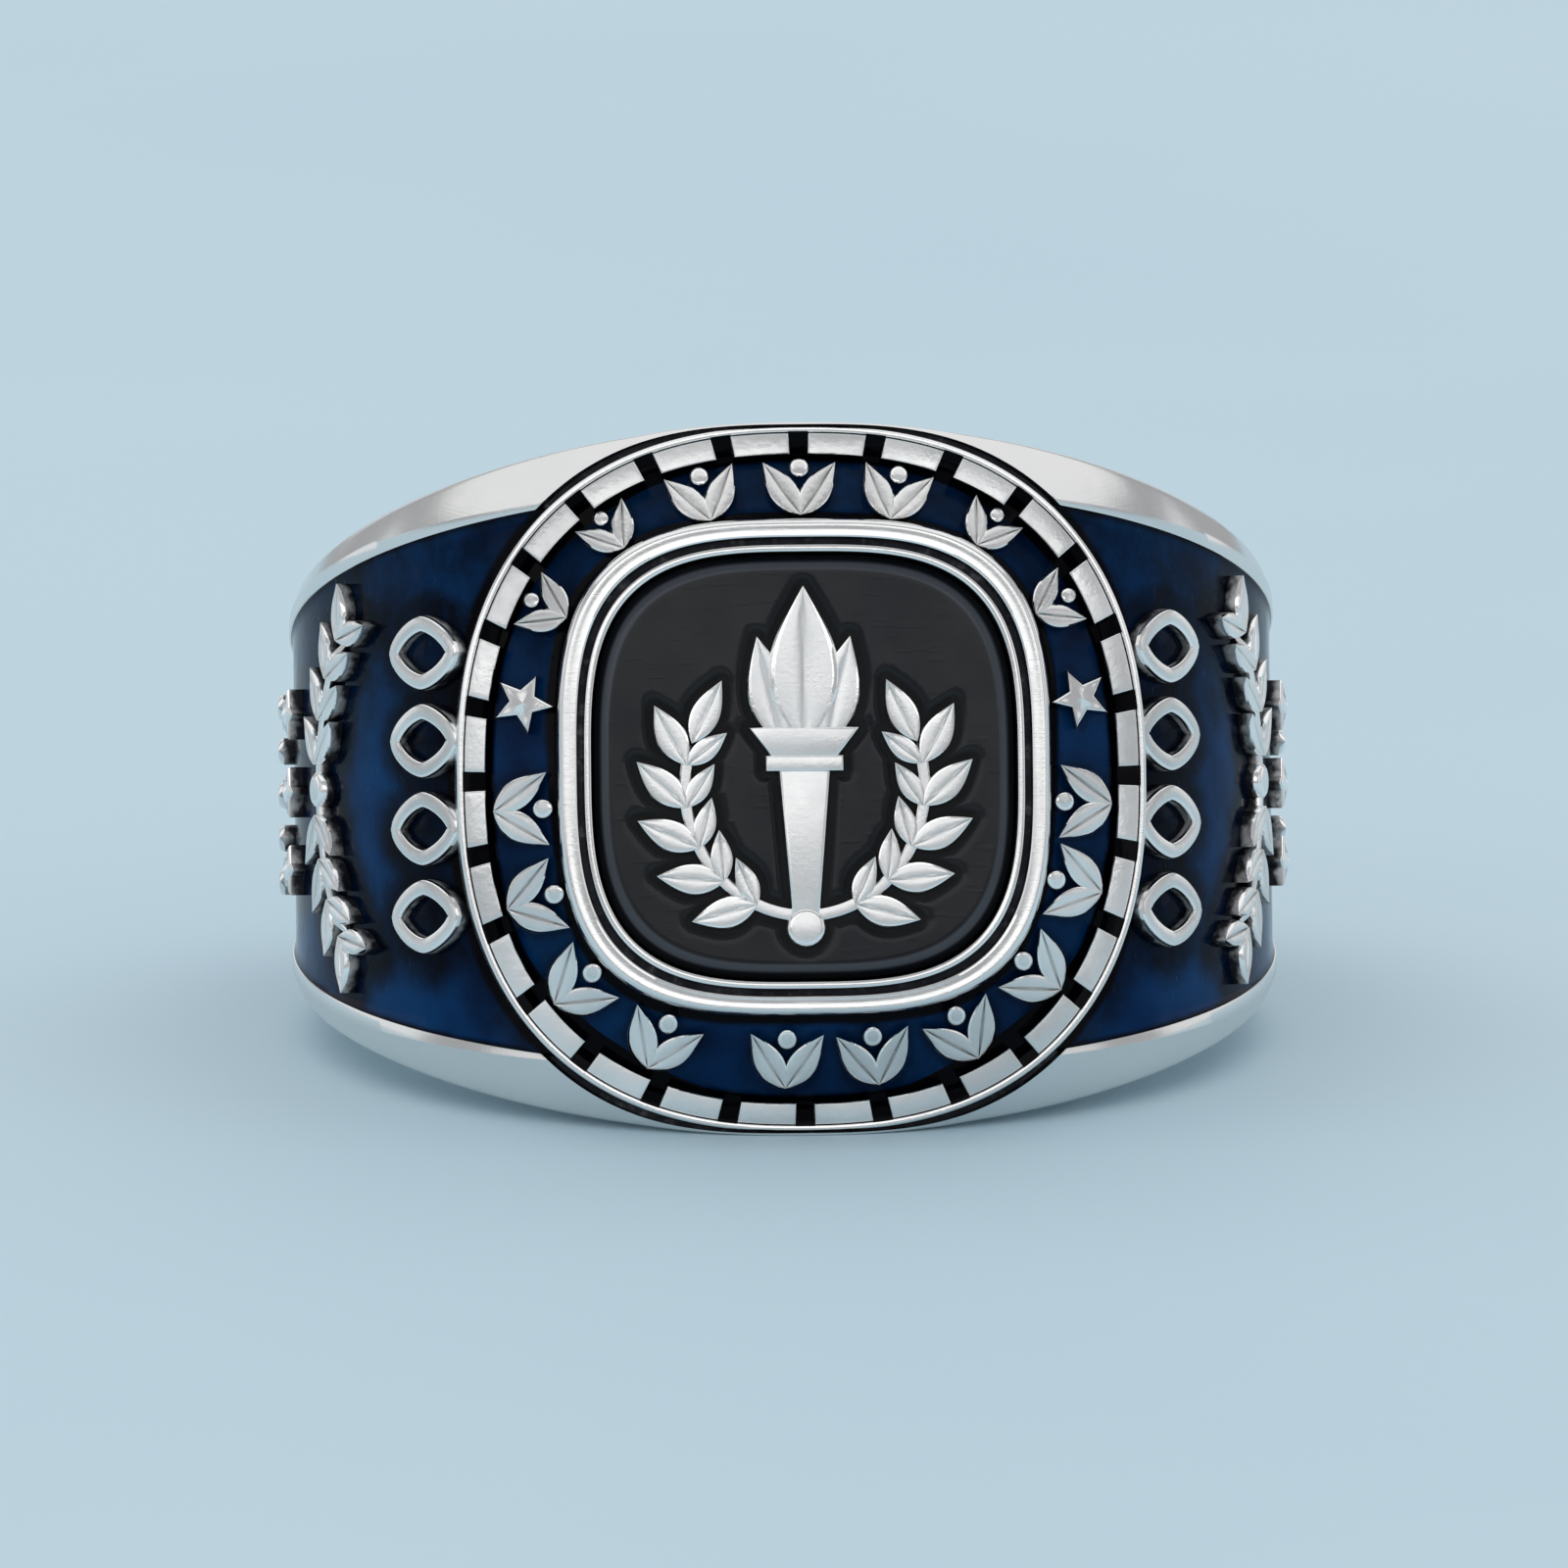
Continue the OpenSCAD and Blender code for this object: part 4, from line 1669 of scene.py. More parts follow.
    def build(self) -> list[Piece]:
        """Builds the head's silver.

        Returns:
            The drum, the border and the frame.
        """
        return [self.drum(), self.border(), self.frame()]


@dataclass
class Band(SubAssembly):
    """The sloping band between border and frame, with its relief and enamel.

    Attributes:
        rise: Height of the relief.
        sprig_h: Greatest height of a sprig.
        space: Least gap between a sprig and the band's edges.
        star_r: Radius of the stars.
        sink: How far the enamel sinks at its edges.
        upper: Angles in degrees of the sprigs that point outwards.
        lower: Angles in degrees of those that point inwards.
        stars: Angles in degrees of the stars.
        feet: Points along the feet of the relief.
    """

    rise: float = 0.42
    sprig_h: float = 1.46
    space: float = 0.1
    star_r: float = 0.785
    sink: float = 0.08
    upper: tuple[float, ...] = tuple(18.6 * k for k in range(-3, 4))
    lower: tuple[float, ...] = (95.5, 112, 130, 148, 166, 184, 209, 228, 246, 264)
    stars: tuple[float, ...] = (-74.5, 74.5)
    feet: list[Vector] = field(default_factory=list)

    def place(self, a: float, row: Row) -> Matrix:
        """Finds where a motif stands, square to the border.

        Args:
            a: Angle in degrees round the face.
            row: The way that its top points.

        Returns:
            Its place on the drawing of the face.
        """
        f = self.form
        rad = math.radians(a)
        r = (f.border_reach(rad) + f.frame_reach(rad)) / 2
        s, c = math.sin(rad), math.cos(rad)
        power = f.oval_power - 1
        turn = math.degrees(math.atan2(
            math.copysign((abs(s) / f.oval_half_w) ** power / f.oval_half_w, s),
            math.copysign((abs(c) / f.oval_half_h) ** power / f.oval_half_h, c),
        ))
        return flat(r * s, r * c, -turn) @ flat(turn=row.value)

    def bend(self, p: Vector) -> Vector:
        """Lays a point of the drawing on the band's slope."""
        return Vector((p.x, -(self.form.slope(math.hypot(p.x, p.y)) + p.z), p.y))

    def sprig(self, carving: Carving, a: float, row: Row) -> None:
        """Adds a pair of leaves with a berry between them.

        Args:
            carving: The carving that it joins.
            a: Angle in degrees round the face.
            row: The way that its top points.
        """
        f = self.form
        rad = math.radians(a)
        tall = min(self.sprig_h, f.border_reach(rad) - f.frame_reach(rad) - 2 * self.space)
        base = self.place(a, row) @ flat(y=-tall / 2)
        for side in Hand:
            carving.leaf(
                1.12 * tall, 0.52 * tall, base @ flat(turn=-34 * side), self.bend,
                top=self.rise - 0.01 * side, vein=0.11,
            )
        carving.bead(0.17 * tall, base @ flat(y=0.84 * tall), self.bend)

    def relief(self) -> Piece:
        """Builds the sprigs and stars of the band.

        Returns:
            The piece.
        """
        work = Work("band_relief")
        carving = Carving(work, top=self.rise, foot=-0.3, feet=self.feet)
        for angles, row in ((self.upper, Row.OUTWARDS), (self.lower, Row.INWARDS)):
            for a in angles:
                self.sprig(carving, a, row)
        for a in self.stars:
            carving.prism(
                star_outline(self.star_r), self.place(a, Row.INWARDS), self.bend,
                edge=0.09, dome=0.1,
            )
        return self.carved(work)

    def enamel(self) -> Piece:
        """Builds the enamel: a ring that sinks at its edges and fills the notches.

        Returns:
            The piece.
        """
        f = self.form
        columns, rows = 540, 26
        # Under the blocks: inset from the plain rim, and depth under the border.
        fill = ((0.2, 0.2), (-0.02, 0.17), (-0.02, 0.62))
        count = rows + len(fill) + 2
        tree = search_tree(self.feet)

        def place(i: int, j: int) -> Vector:
            """Finds a corner of the coat's closed section: top, fill of the notches, and foot.

            Args:
                i: Its column, round the face.
                j: Its place in the section.

            Returns:
                Its place on the ring.
            """
            a = TURN * (i % columns) / columns
            inner, outer = f.frame_reach(a) - 0.03, f.border_reach(a)
            j = j % count
            if j <= rows:
                r = inner + (outer - inner) * j / rows
                sink = self.sink * (fade(r - inner, 0.0, 0.32) + fade(outer - r, 0.0, 0.2))
                return Vector((r * math.sin(a), -(f.slope(r) - sink), r * math.cos(a)))
            if j < count - 1:
                inset, deep = fill[j - rows - 1]
                return f.on_oval(a, f.border_rim + inset, f.border_top - deep)
            return Vector((inner * math.sin(a), -(f.slope(inner) - 0.35), inner * math.cos(a)))

        def dark(p: Vector) -> float:
            """Paints shade into the coat round the relief, where it also stands for antiqued
            black, along both edges and darker high up; the notches are black.

            Args:
                p: A point of the coat.

            Returns:
                Its darkness, from 0 to 1.
            """
            r, a = math.hypot(p.x, p.z), math.atan2(p.x, p.z)
            if r > f.border_reach(a) + 0.05:
                return 1.0
            gap = tree.find(p)[2]
            rim = min(max(0.0, f.border_reach(a) - r), max(0.0, r - f.frame_reach(a)))
            # Painted shade: near the relief, near both edges, and a fall that darkens the
            # upper part of the band.
            return max(
                fade(gap, 0.1, 0.42), 0.35 * fade(gap, 0.3, 0.9), fade(rim, 0.1, 0.36),
                0.5 * fade(-p.z, -5.0, 3.5),
            )

        work = Work("band_enamel_coat")
        work.weld(work.grid(columns, count, place))
        work.shade(dark)
        return work.done(
            self.seat, [self.finishes.band_blue],
            replaces=["band_enamel"], sharp=40,
        )

    def build(self) -> list[Piece]:
        """Builds the band, the relief first, because the enamel's painted shade follows it.

        Returns:
            The relief and the enamel.
        """
        return [self.relief(), self.enamel()]


@dataclass
class SidePanel(SubAssembly):
    """One enamelled side panel with its lozenges, laurel spray, stars and grains.

    Attributes:
        hand: The side of the ring.
        rise: Height of the relief.
        lozenge_half_l: Half length of a lozenge, round the shank.
        lozenge_half_w: Half width of a lozenge, along the finger.
        lozenge_power: Squareness of a lozenge, 1 for straight sides.
        lozenge_space: Gap between two lozenges.
        lozenge_edge: Width of their bands.
        lozenge_rows: Their places in the column.
        lozenge_out: Way round the shank from the oval to the lozenges.
        spray_out: Way from there to the spray.
        spray_space: Gap between the spray and the panel's edges.
        star_out: Way from the spray to the stars.
        star_r: Radius of the stars.
        star_pitch: Distance between two stars.
        grain_out: Way from the stars to the grains.
        grain_l: Length of a grain.
        grain_pitch: Distance between two grains.
        coat: Thickness of the enamel.
        feet: Points along the feet of the relief.
    """

    hand: Hand
    rise: float = 0.31
    lozenge_half_l: float = 1.25
    lozenge_half_w: float = 0.95
    lozenge_power: float = 1.5
    lozenge_space: float = 0.33
    lozenge_edge: float = 0.42
    lozenge_rows: tuple[float, ...] = (-1.5, -0.5, 0.5, 1.5)
    lozenge_out: float = 0.89
    spray_out: float = 3.92
    spray_space: float = 0.24
    star_out: float = 3.66
    star_r: float = 0.68
    star_pitch: float = 2.0
    grain_out: float = 2.55
    grain_l: float = 1.5
    grain_pitch: float = 1.12
    coat: float = 0.3
    feet: list[Vector] = field(default_factory=list)

    @property
    def name(self) -> str:
        """The side in words, as piece names use it."""
        return self.hand.name.lower()

    @property
    def lozenge_pitch(self) -> float:
        """Distance between two lozenges of the column."""
        return 2 * self.lozenge_half_w + self.lozenge_space

    def angle(self, *ways: float) -> float:
        """Angle in radians from the face, after ways round the shank from the oval."""
        f = self.form
        return math.asin(f.oval_half_w / f.shank_r) + sum(ways) / f.shank_r

    def bend(self, angle: float) -> Bend:
        """Wraps a drawing round the shank.

        Args:
            angle: Angle in radians from the face of the drawing's middle.

        Returns:
            A function that turns a point of the drawing into one of the ring.
        """
        f = self.form
        s, c = math.sin(angle), math.cos(angle)

        def wrap(p: Vector) -> Vector:
            """Lays a point of the drawing on the shank's round.

            Args:
                p: The point.

            Returns:
                Its place on the ring.
            """
            up = math.sqrt((f.shank_r + p.z) ** 2 - p.x**2)
            x, y = p.x * c + up * s, p.x * s - up * c - f.shank_lead
            return Vector((self.hand * x, y, p.y))

        return wrap

    def lozenge_point(self, a: float, inset: float) -> tuple[float, float]:
        """Finds a point on a lozenge's outline.

        Args:
            a: Angle in radians from its Y axis.
            inset: How far the outline is drawn in.

        Returns:
            X and Y on the lozenge's drawing.
        """
        half_l, half_w = self.lozenge_half_l - inset, self.lozenge_half_w - inset
        r = self.form.reach(a, half_l, half_w, self.lozenge_power)
        return r * math.sin(a), r * math.cos(a)

    def lozenges(self, carving: Carving) -> None:
        """Adds the column of open lozenges next to the bezel.

        Args:
            carving: The carving that they join.
        """
        bend = self.bend(self.angle(self.lozenge_out))

        def on(t: float) -> Vector:
            """A point on the middle line of the lozenge's band."""
            return Vector((*self.lozenge_point(TURN * t, self.lozenge_edge / 2), 0))

        def line(share: float) -> tuple[Vector, Vector]:
            """The middle line and its sideways direction."""
            ahead = on(share + 0.002) - on(share - 0.002)
            return on(share), Vector((-ahead.y, ahead.x, 0)).normalized()

        for k in self.lozenge_rows:
            place = flat(y=self.lozenge_pitch * k)
            carving.band(line, self.lozenge_edge, place, bend, 56, closed=True)

    def spray(self, carving: Carving) -> None:
        """Adds the laurel branches that part from a knot.

        Args:
            carving: The carving that they join.
        """
        f = self.form
        angle = self.angle(self.lozenge_out, self.spray_out)
        away = f.shank_lead + f.shank_r * math.cos(angle)
        half = f.panel_half + f.panel_taper * away - self.spray_space
        r, leaf = 1.109 * half, 0.277 * half
        step = math.degrees(0.8 * leaf / r)
        centre = 0.75 * leaf - r
        bend = self.bend(angle)
        reach = math.radians(3.75 * step)

        def line(share: float) -> tuple[Vector, Vector]:
            """Follows the branch's arc.

            Args:
                share: Way along it, from 0 to 1.

            Returns:
                The point there and its sideways direction.
            """
            a = reach * (2 * share - 1)
            aside = Vector((math.cos(a), math.sin(a), 0))
            return Vector((centre, 0, 0)) + aside * r, aside

        carving.band(line, 0.22 * leaf, Matrix.Identity(4), bend, 64, top=self.rise - 0.1)
        for side in Hand:
            for k in range(1, 5):
                turn = (k - 0.45) * step
                a = math.radians(turn)
                for lean in (-36, 36):
                    x, y = centre + r * math.cos(a), r * math.sin(a)
                    place = flat(x, y, turn) @ flat(turn=lean)
                    if side is Hand.LEFT:
                        place = flat(x, -y, 180 - turn) @ flat(turn=-lean)
                    carving.leaf(leaf, 0.46 * leaf, place, bend)
        carving.bead(leaf / 3, flat(centre + r), bend, top=self.rise - 0.02)

    def relief(self) -> Piece:
        """Builds all motifs of the panel.

        Returns:
            The piece.
        """
        work = Work(f"{self.name}_relief")
        carving = Carving(work, top=self.rise, foot=-0.4, feet=self.feet)
        self.lozenges(carving)
        self.spray(carving)
        ways = (self.lozenge_out, self.spray_out, self.star_out)
        bend = self.bend(self.angle(*ways))
        for k in (-1, 0, 1):
            place = flat(y=self.star_pitch * k, turn=90)
            carving.prism(star_outline(self.star_r), place, bend, edge=0.08, dome=0.09)
        bend = self.bend(self.angle(*ways, self.grain_out))
        for k in range(-2, 3):
            place = flat(-self.grain_l / 2, self.grain_pitch * k, -90)
            carving.leaf(self.grain_l, 0.46 * self.grain_l, place, bend)
        return self.carved(work)

    def enamel(self) -> Piece:
        """Builds the panel's enamel, which creeps up its edges.

        Returns:
            The piece.
        """
        f = self.form
        columns, rows, straight = 220, 96, 0.8
        rho = f.shank_r - f.enamel_dip
        turn = f.panel_phi(f.panel_turn)
        tree = search_tree(self.feet)
        starts: dict[int, float] = {}

        def start(j: int) -> float:
            """Finds where a row comes out from under the bezel.

            Args:
                j: The row.

            Returns:
                The angle in radians from the face.
            """

            def covered(phi: float) -> bool:
                """Whether the row still lies under the bezel."""
                z = (2 * j / rows - 1) * f.panel_edge(phi)
                return f.oval_share(rho * math.sin(phi), z, -0.06) < 1

            if j not in starts:
                starts[j] = bisect(math.radians(20), math.radians(60), covered)[0]
            return starts[j]

        def place(i: int, j: int) -> Vector:
            """Finds a corner of the coat's face.

            Args:
                i: Its column, from the bezel to the panel's round end.
                j: Its row, from the lower edge to the upper one.

            Returns:
                Its place on the ring.
            """
            u = i / columns
            if u < straight:
                phi = start(j) + (turn - start(j)) * u / straight
            else:
                way = math.sin(math.pi / 2 * (u - straight) / (1 - straight))
                phi = f.panel_phi(f.panel_turn + 0.999 * f.panel_end * way)
            edge = f.panel_edge(phi) - 0.008
            z = (2 * j / rows - 1) * edge
            creep = 0.055 * math.exp(-(edge - abs(z)) / 0.1)
            p = f.at(phi, rho + creep, z)
            return Vector((self.hand * p.x, p.y, p.z))

        def dark(p: Vector) -> float:
            """Paints shade into the coat round the relief, where it also stands for antiqued
            black, along the edges and the bezel, and darker high up.

            Args:
                p: A point of the coat.

            Returns:
                Its darkness, from 0 to 1.
            """
            gap = tree.find(p)[2]
            phi = math.atan2(abs(p.x), -(p.y + f.shank_lead))
            rim = max(0.0, f.panel_edge(phi) - abs(p.z))
            bezel = max(0.0, (f.oval_share(p.x, p.z) - 1) * 3.4)
            # Painted shade: near the relief, the edges and the bezel, and a fall that darkens
            # the upper part of the panel.
            return max(
                fade(gap, 0.14, 0.66), 0.75 * fade(gap, 0.4, 1.6), 0.8 * fade(rim, 0.02, 0.2),
                fade(bezel, 0.05, 0.5), 0.6 * fade(bezel, 0.2, 1.6),
                0.55 * fade(-p.z, -3.6, 2.2),
            )

        work = Work(f"{self.name}_enamel_coat")
        work.weld(work.grid(columns, rows, place))
        bm = work.bm
        if self.hand is Hand.LEFT:
            bmesh.ops.reverse_faces(bm, faces=bm.faces[:])
        work.shade(dark)
        bmesh.ops.solidify(bm, geom=bm.faces[:], thickness=self.coat)
        return work.done(
            self.seat, [self.finishes.panel_blue],
            replaces=[f"{self.name}_enamel"], sharp=40,
        )

    def fills(self) -> Piece:
        """Builds the dark enamel inside the lozenges.

        Returns:
            The piece.
        """
        work = Work(f"{self.name}_lozenge_fills")
        carving = Carving(work, top=0.02, foot=-0.3)
        bend = self.bend(self.angle(self.lozenge_out))
        corners = 32
        inset = self.lozenge_edge - 0.03
        outline = [self.lozenge_point(-TURN * k / corners, inset) for k in range(corners)]
        for k in self.lozenge_rows:
            carving.prism(outline, flat(y=self.lozenge_pitch * k), bend, edge=0.04)
        for face in work.bm.faces:
            face.material_index = 0
        work.shade(lambda p: 0.75)
        return work.done(self.seat, [self.finishes.panel_blue])

    def build(self) -> list[Piece]:
        """Builds the panel, the relief first, because the enamel's painted shade follows it.

        Returns:
            The relief, the enamel and the fills.
        """
        return [self.relief(), self.enamel(), self.fills()]


@dataclass
class Emblem(SubAssembly):
    """The inlaid torch between two laurel branches, drawn in hundredths of its height.

    Attributes:
        size: One hundredth of the emblem's height.
        rise: How far it stands over the tablet's table.
        sunk: How far it is let into the tablet.
        feet: Points along its foot.
    """

    size: float = 0.091
    rise: float = 0.2
    sunk: float = 0.3
    feet: list[Vector] = field(default_factory=list)

    def bend(self, p: Vector) -> Vector:
        """Lays a point of the drawing on the tablet's table."""
        f = self.form
        return Vector((p.x, -(f.table_top + p.z), p.y + f.cushion_up))

    def at(self, x: float, y: float, turn: float = 0.0) -> Matrix:
        """A place given in hundredths of the emblem's height."""
        return flat(x * self.size, y * self.size, turn)

    def outline(self, *corners: tuple[float, float]) -> list[tuple[float, float]]:
        """An outline given in hundredths of the emblem's height."""
        return [(x * self.size, y * self.size) for x, y in corners]

    def leaf(
        self, carving: Carving, long: float, wide: float, place: Matrix, top: float,
        vein: float = 0.06,
    ) -> None:
        """Adds a leaf or a flame.

        Args:
            carving: The carving that it joins.
            long: Its length in hundredths of the emblem's height.
            wide: Its width in hundredths of the emblem's height.
            place: Its place on the drawing.
            top: Height of its halves.
            vein: Depth of its midrib.
        """
        carving.leaf(
            long * self.size, wide * self.size, place, self.bend, top=top, vein=vein, edge=0.07
        )

    def torch(self, carving: Carving) -> None:
        """Adds the handle, pommel, collar, cup and flames.

        Args:
            carving: The carving that they join.
        """
        rise = self.rise
        here = Matrix.Identity(4)
        handle = self.outline((-3.7, -44), (3.7, -44), (7.3, -0.5), (-7.3, -0.5))
        carving.prism(handle, here, self.bend, top=rise - 0.03, edge=0.1)
        carving.bead(5.5 * self.size, self.at(0, -44.5), self.bend, top=rise, edge=0.25)
        collar = self.outline((-10.8, -1.3), (10.8, -1.3), (10.8, 3.1), (-10.8, 3.1))
        carving.prism(collar, here, self.bend, top=rise + 0.03, edge=0.06)
        cup = self.outline((-8.8, 2.2), (8.8, 2.2), (15.6, 11), (-15.6, 11))
        carving.prism(cup, here, self.bend, top=rise, edge=0.09)
        for side in Hand:
            self.leaf(carving, 30.8, 12.6, self.at(6 * side, 6, -13 * side), rise - 0.05, 0.04)
        self.leaf(carving, 43.4, 19.8, self.at(0, 6.6), rise - 0.01, 0.05)

    def laurel(self, carving: Carving, side: Hand) -> None:
        """Adds one branch with its leaf pairs.

        Args:
            carving: The carving that it joins.
            side: Which branch.
        """
        size, rise = self.size, self.rise

        def at_angle(u: float) -> Vector:
            """A point on the branch, from its angle in degrees after the lowest point."""
            a = math.radians(u)
            return Vector((side * 33.2 * math.sin(a), -5.5 - 35.7 * math.cos(a), 0)) * size

        def line(share: float) -> tuple[Vector, Vector]:
            """Follows the branch.

            Args:
                share: Way along it, from 0 to 1.

            Returns:
                The point there and its sideways direction.
            """
            u = -4 + 116 * share
            ahead = at_angle(u + 0.5) - at_angle(u - 0.5)
            return at_angle(u), Vector((-ahead.y, ahead.x, 0)).normalized()

        carving.band(
            line, 3.5 * size, Matrix.Identity(4), self.bend, 56, top=rise - 0.06 + 0.008 * side
        )
        for k, u in enumerate((24, 43, 62, 81, 100)):
            p = at_angle(u)
            for lean, long, wide in ((-38, 18.7, 8.8), (42, 14.3, 6.4)):
                place = flat(p.x, p.y, side * (u - 90 + lean))
                self.leaf(carving, long, wide, place, rise - 0.004 * k)
        p = at_angle(110)
        self.leaf(carving, 19.2, 8.4, flat(p.x, p.y, side * 26), rise - 0.02)

    def build(self) -> list[Piece]:
        """Builds the whole inlay.

        Returns:
            The one piece.
        """
        work = Work("torch_and_laurel")
        carving = Carving(work, top=self.rise, foot=-self.sunk, feet=self.feet)
        for side in Hand:
            self.laurel(carving, side)
        self.torch(carving)
        coats = [self.finishes.satin, self.finishes.edge, self.finishes.oxide]
        inlay = work.done(self.seat, coats, replaces=["emblem"])
        return [inlay]


@dataclass
class Tablet(SubAssembly):
    """The black tablet with its table and soft bevel.

    Attributes:
        emblem: The inlay, round which the stone is let in.
        inset: Inset of the tablet from the frame's outside.
        bevel: Width of the bevel.
        drop: Fall of the bevel.
        thick: Thickness of the stone.
        trench: Depth of the trench round the inlay.
        rings: Number of cells from the bevel to the middle.
        columns: Number of cells round the tablet.
    """

    emblem: Emblem
    inset: float = 0.92
    bevel: float = 0.4
    drop: float = 0.22
    thick: float = 1.1
    trench: float = 0.07
    rings: int = 62
    columns: int = 300

    def stations(self) -> list[tuple[float, float]]:
        """Draws the tablet from the middle of its back to the middle of its table.

        Returns:
            Inset and height of each corner.
        """
        half = self.form.frame_half_w - self.inset
        top, back = self.form.table_top, self.form.table_top - self.thick
        corners = [
            (self.form.frame_half_w, back), (self.inset + 0.05, back),
            (self.inset, back + 0.05), (self.inset, top - self.drop - 0.02),
        ]
        for k in range(1, 7):
            share = k / 6
            fall = self.drop * (1 - math.sin(math.pi / 2 * share))
            corners.append((self.inset + self.bevel * share, top - fall))
        flat_half = half - self.bevel
        for k in range(1, self.rings + 1):
            corners.append((self.inset + self.bevel + flat_half * k / self.rings, top))
        return corners

    def build(self) -> list[Piece]:
        """Builds the tablet, after the emblem.

        Returns:
            The one piece.
        """
        f, emblem = self.form, self.emblem
        top = f.table_top
        tree = search_tree(emblem.feet)
        stations = self.stations()

        def place(i: int, j: int) -> Vector:
            """The station's corner in its column."""
            inset, high = stations[j]
            return f.on_cushion(TURN * (i % self.columns) / self.columns, inset, high)

        def trench_and_shadow(p: Vector) -> float:
            """Works out how far a point lies in the trench round the inlay, where the table
            sinks and is painted with shadow.

            Args:
                p: A point of the tablet.

            Returns:
                1 at the inlay, and 0 away from it and off the table.
            """
            if -p.y < top - 0.001:
                return 0.0
            gap = tree.find(Vector((p.x, -(top - emblem.sunk), p.z)))[2]
            return fade(gap, 0.13, 0.3)

        work = Work("black_tablet")
        work.weld(work.grid(self.columns, len(stations) - 1, place))
        work.shade(trench_and_shadow)
        shade = work.bm.verts.layers.float["shade"]
        bevel_glint = work.bm.verts.layers.float.new("bevel_glint")
        for v in work.bm.verts:
            # Painted glint: marks the bevel just under the table for a lighter colour.
            v[bevel_glint] = 1.0 if 0.003 < top + v.co.y < 0.07 else 0.0
            v.co.y += self.trench * v[shade]
        stone = work.done(
            self.seat, [self.finishes.stone], replaces=["tablet"], sharp=35
        )
        return [stone]


@dataclass(frozen=True)
class SoftBox:
    """A soft rectangular lamp that faces the ring.

    Attributes:
        name: The lamp's name.
        where: Its place in metres.
        size: Its width and height in metres.
        radiance: Its brightness, whatever its size.
        tint: Its colour.
    """

    name: str
    where: tuple[float, float, float]
    size: tuple[float, float]
    radiance: float
    tint: Colour = (1.0, 1.0, 1.0)

    def hang(self, aim: Vector) -> None:
        """Hangs the lamp in its place.

        Args:
            aim: The point that it faces.
        """
        data = bpy.data.lights.new(self.name, "AREA")
        data.shape = "RECTANGLE"
        data.size, data.size_y = self.size
        data.energy = self.radiance * math.pi * self.size[0] * self.size[1]
        data.color = self.tint
        lamp = bpy.data.objects.new(self.name, data)
        lamp.location = self.where
        way = aim - Vector(self.where)
        lamp.rotation_euler = way.to_track_quat("-Z", "Y").to_euler()
        bpy.context.scene.collection.objects.link(lamp)


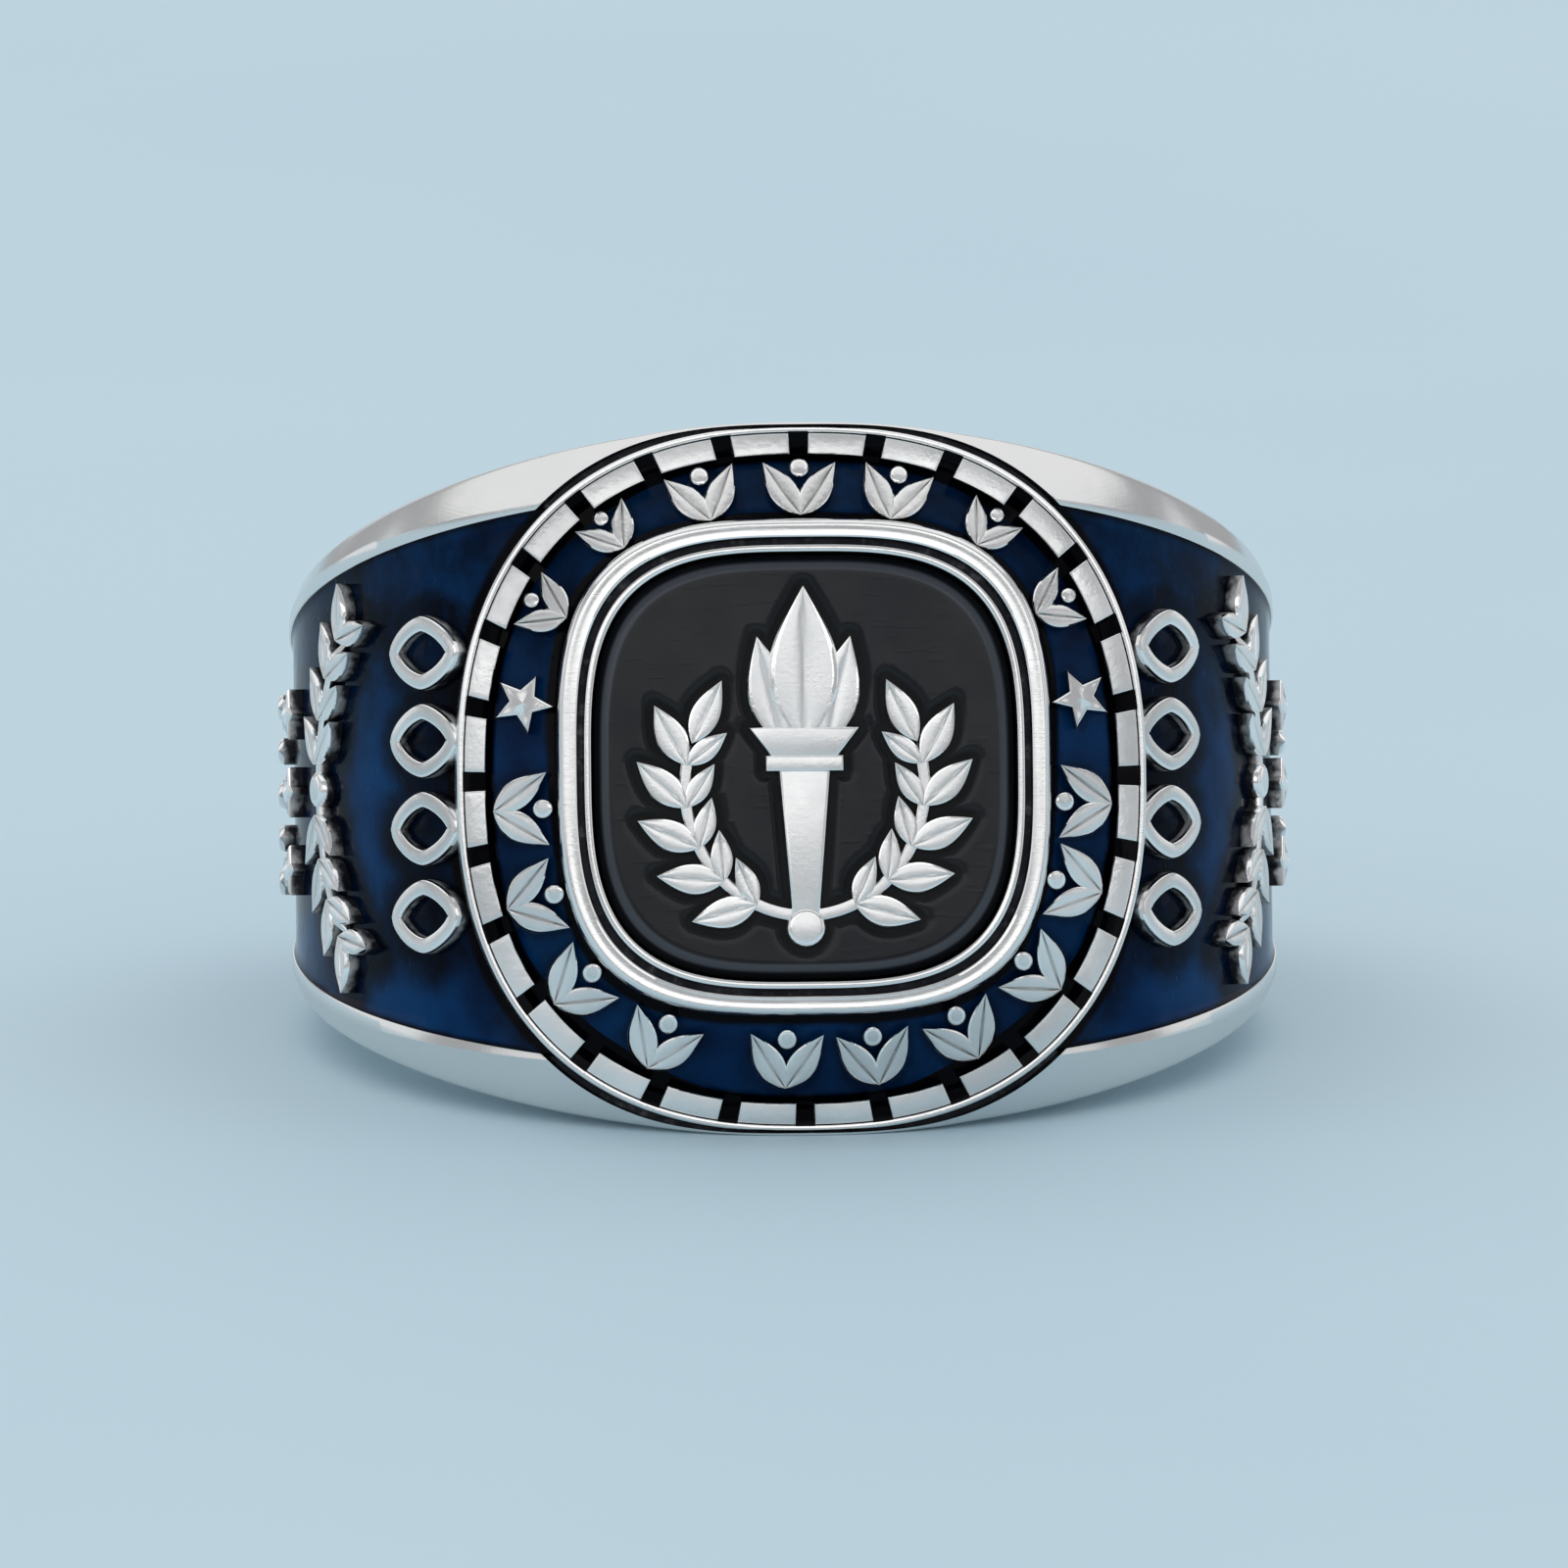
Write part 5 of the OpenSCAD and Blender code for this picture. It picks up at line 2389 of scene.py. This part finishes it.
@dataclass
class Studio:
    """The plain floor, the soft lights and the camera.

    Attributes:
        azimuth: The camera's angle in degrees to the right of the face.
        elevation: Its angle in degrees over the floor.
        distance: Its distance from the ring in metres.
        field_width: Width of the picture at the ring in metres.
        frame_px: Width of the picture in the photograph's pixels.
        target: The point of the face that it aims at, before the shift.
        shift_px: How far the ring moves right and up in the picture, in those pixels.
        lamp_aim: The point that the lamps face.
        sky: Colour of the light from all sides.
        sky_strength: Strength of that light.
        floor_half: Half width of the floor in metres.
        boxes: The lamps.
    """

    azimuth: float = -2.5
    elevation: float = 12.6
    distance: float = 0.5
    field_width: float = 0.0396
    frame_px: int = 1600
    target: tuple[float, float, float] = (0.0, -0.0102, 0.0088)
    shift_px: tuple[float, float] = (18.0, 9.0)
    lamp_aim: tuple[float, float, float] = (0.0, -0.002, 0.008)
    sky: Colour = (0.95, 0.97, 1.0)
    sky_strength: float = 0.42
    floor_half: float = 6.0
    boxes: tuple[SoftBox, ...] = (
        SoftBox("front_box", (-0.1, -0.8, 0.42), (1.0, 0.4), 0.84),
        SoftBox("top_box", (0.0, 0.2, 0.75), (1.8, 1.1), 0.52),
        SoftBox("left_box", (-0.72, -0.42, 0.28), (0.5, 0.44), 0.38, (0.96, 0.98, 1.0)),
        SoftBox("right_box", (0.74, -0.4, 0.28), (0.5, 0.44), 0.34),
        SoftBox("left_strip", (-0.85, 0.42, 0.18), (0.7, 0.34), 0.48, (0.93, 0.97, 1.0)),
        SoftBox("right_strip", (0.85, 0.42, 0.18), (0.7, 0.34), 0.44),
        SoftBox("back_box", (0.0, 0.9, 0.25), (1.0, 0.3), 0.4, (0.95, 0.98, 1.0)),
    )

    def axes(self) -> tuple[Vector, Vector, Vector]:
        """Works out how the camera is turned.

        Returns:
            Its back, right and up directions.
        """
        a, e = math.radians(self.azimuth), math.radians(self.elevation)
        back = Vector((math.sin(a) * math.cos(e), -math.cos(a) * math.cos(e), math.sin(e)))
        right = Vector((math.cos(a), math.sin(a), 0))
        return back, right, back.cross(right)

    def camera(self) -> None:
        """Places the camera at the photograph's angle to the ring's face."""
        back, right, up = self.axes()
        pixel = self.field_width / self.frame_px
        over, above = self.shift_px
        aim = Vector(self.target) - right * over * pixel - up * above * pixel
        data = bpy.data.cameras.new("photo_camera")
        data.sensor_width = 36
        data.lens = data.sensor_width * self.distance / self.field_width
        data.clip_start, data.clip_end = 0.01, 50
        camera = bpy.data.objects.new("photo_camera", data)
        camera.location = aim + back * self.distance
        camera.rotation_euler = (-back).to_track_quat("-Z", "Y").to_euler()
        bpy.context.scene.collection.objects.link(camera)
        bpy.context.scene.camera = camera

    def floor(self) -> None:
        """Lays the plain floor."""
        bm = bmesh.new()
        bmesh.ops.create_grid(bm, x_segments=2, y_segments=2, size=self.floor_half)
        mesh = bpy.data.meshes.new("floor")
        bm.to_mesh(mesh)
        bm.free()
        mesh.materials.append(FloorFinish().make())
        floor = bpy.data.objects.new("floor", mesh)
        bpy.context.scene.collection.objects.link(floor)

    def build(self) -> None:
        """Sets up world, floor, lamps and camera."""
        world = bpy.data.worlds.new("soft_studio")
        bpy.context.scene.world = world
        world.use_nodes = True
        background = world.node_tree.nodes["Background"]
        background.inputs["Color"].default_value = (*self.sky, 1)
        background.inputs["Strength"].default_value = self.sky_strength
        self.floor()
        for box in self.boxes:
            box.hang(Vector(self.lamp_aim))
        bpy.context.scene.view_settings.view_transform = "Standard"
        self.camera()


def report(piece: Piece) -> None:
    """Logs a finished piece and its number of triangles."""
    triangles = sum(len(p.vertices) - 2 for p in piece.data.polygons)
    log.info("%s: %d triangles", piece.name, triangles)


def main() -> None:
    """Builds every sub-assembly in order, and the studio."""
    logging.basicConfig(level=logging.INFO, format="%(name)s: %(message)s")
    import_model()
    form = RingForm()
    shared = (form, Seat(form), Finishes())
    emblem = Emblem(*shared)
    parts: list[SubAssembly] = [
        Shank(*shared),
        Bezel(*shared),
        Band(*shared),
        SidePanel(*shared, Hand.LEFT),
        SidePanel(*shared, Hand.RIGHT),
        emblem,
        Tablet(*shared, emblem),
    ]
    for part in parts:
        for piece in part.build():
            report(piece)
    Studio().build()


if __name__ == "__main__":
    main()
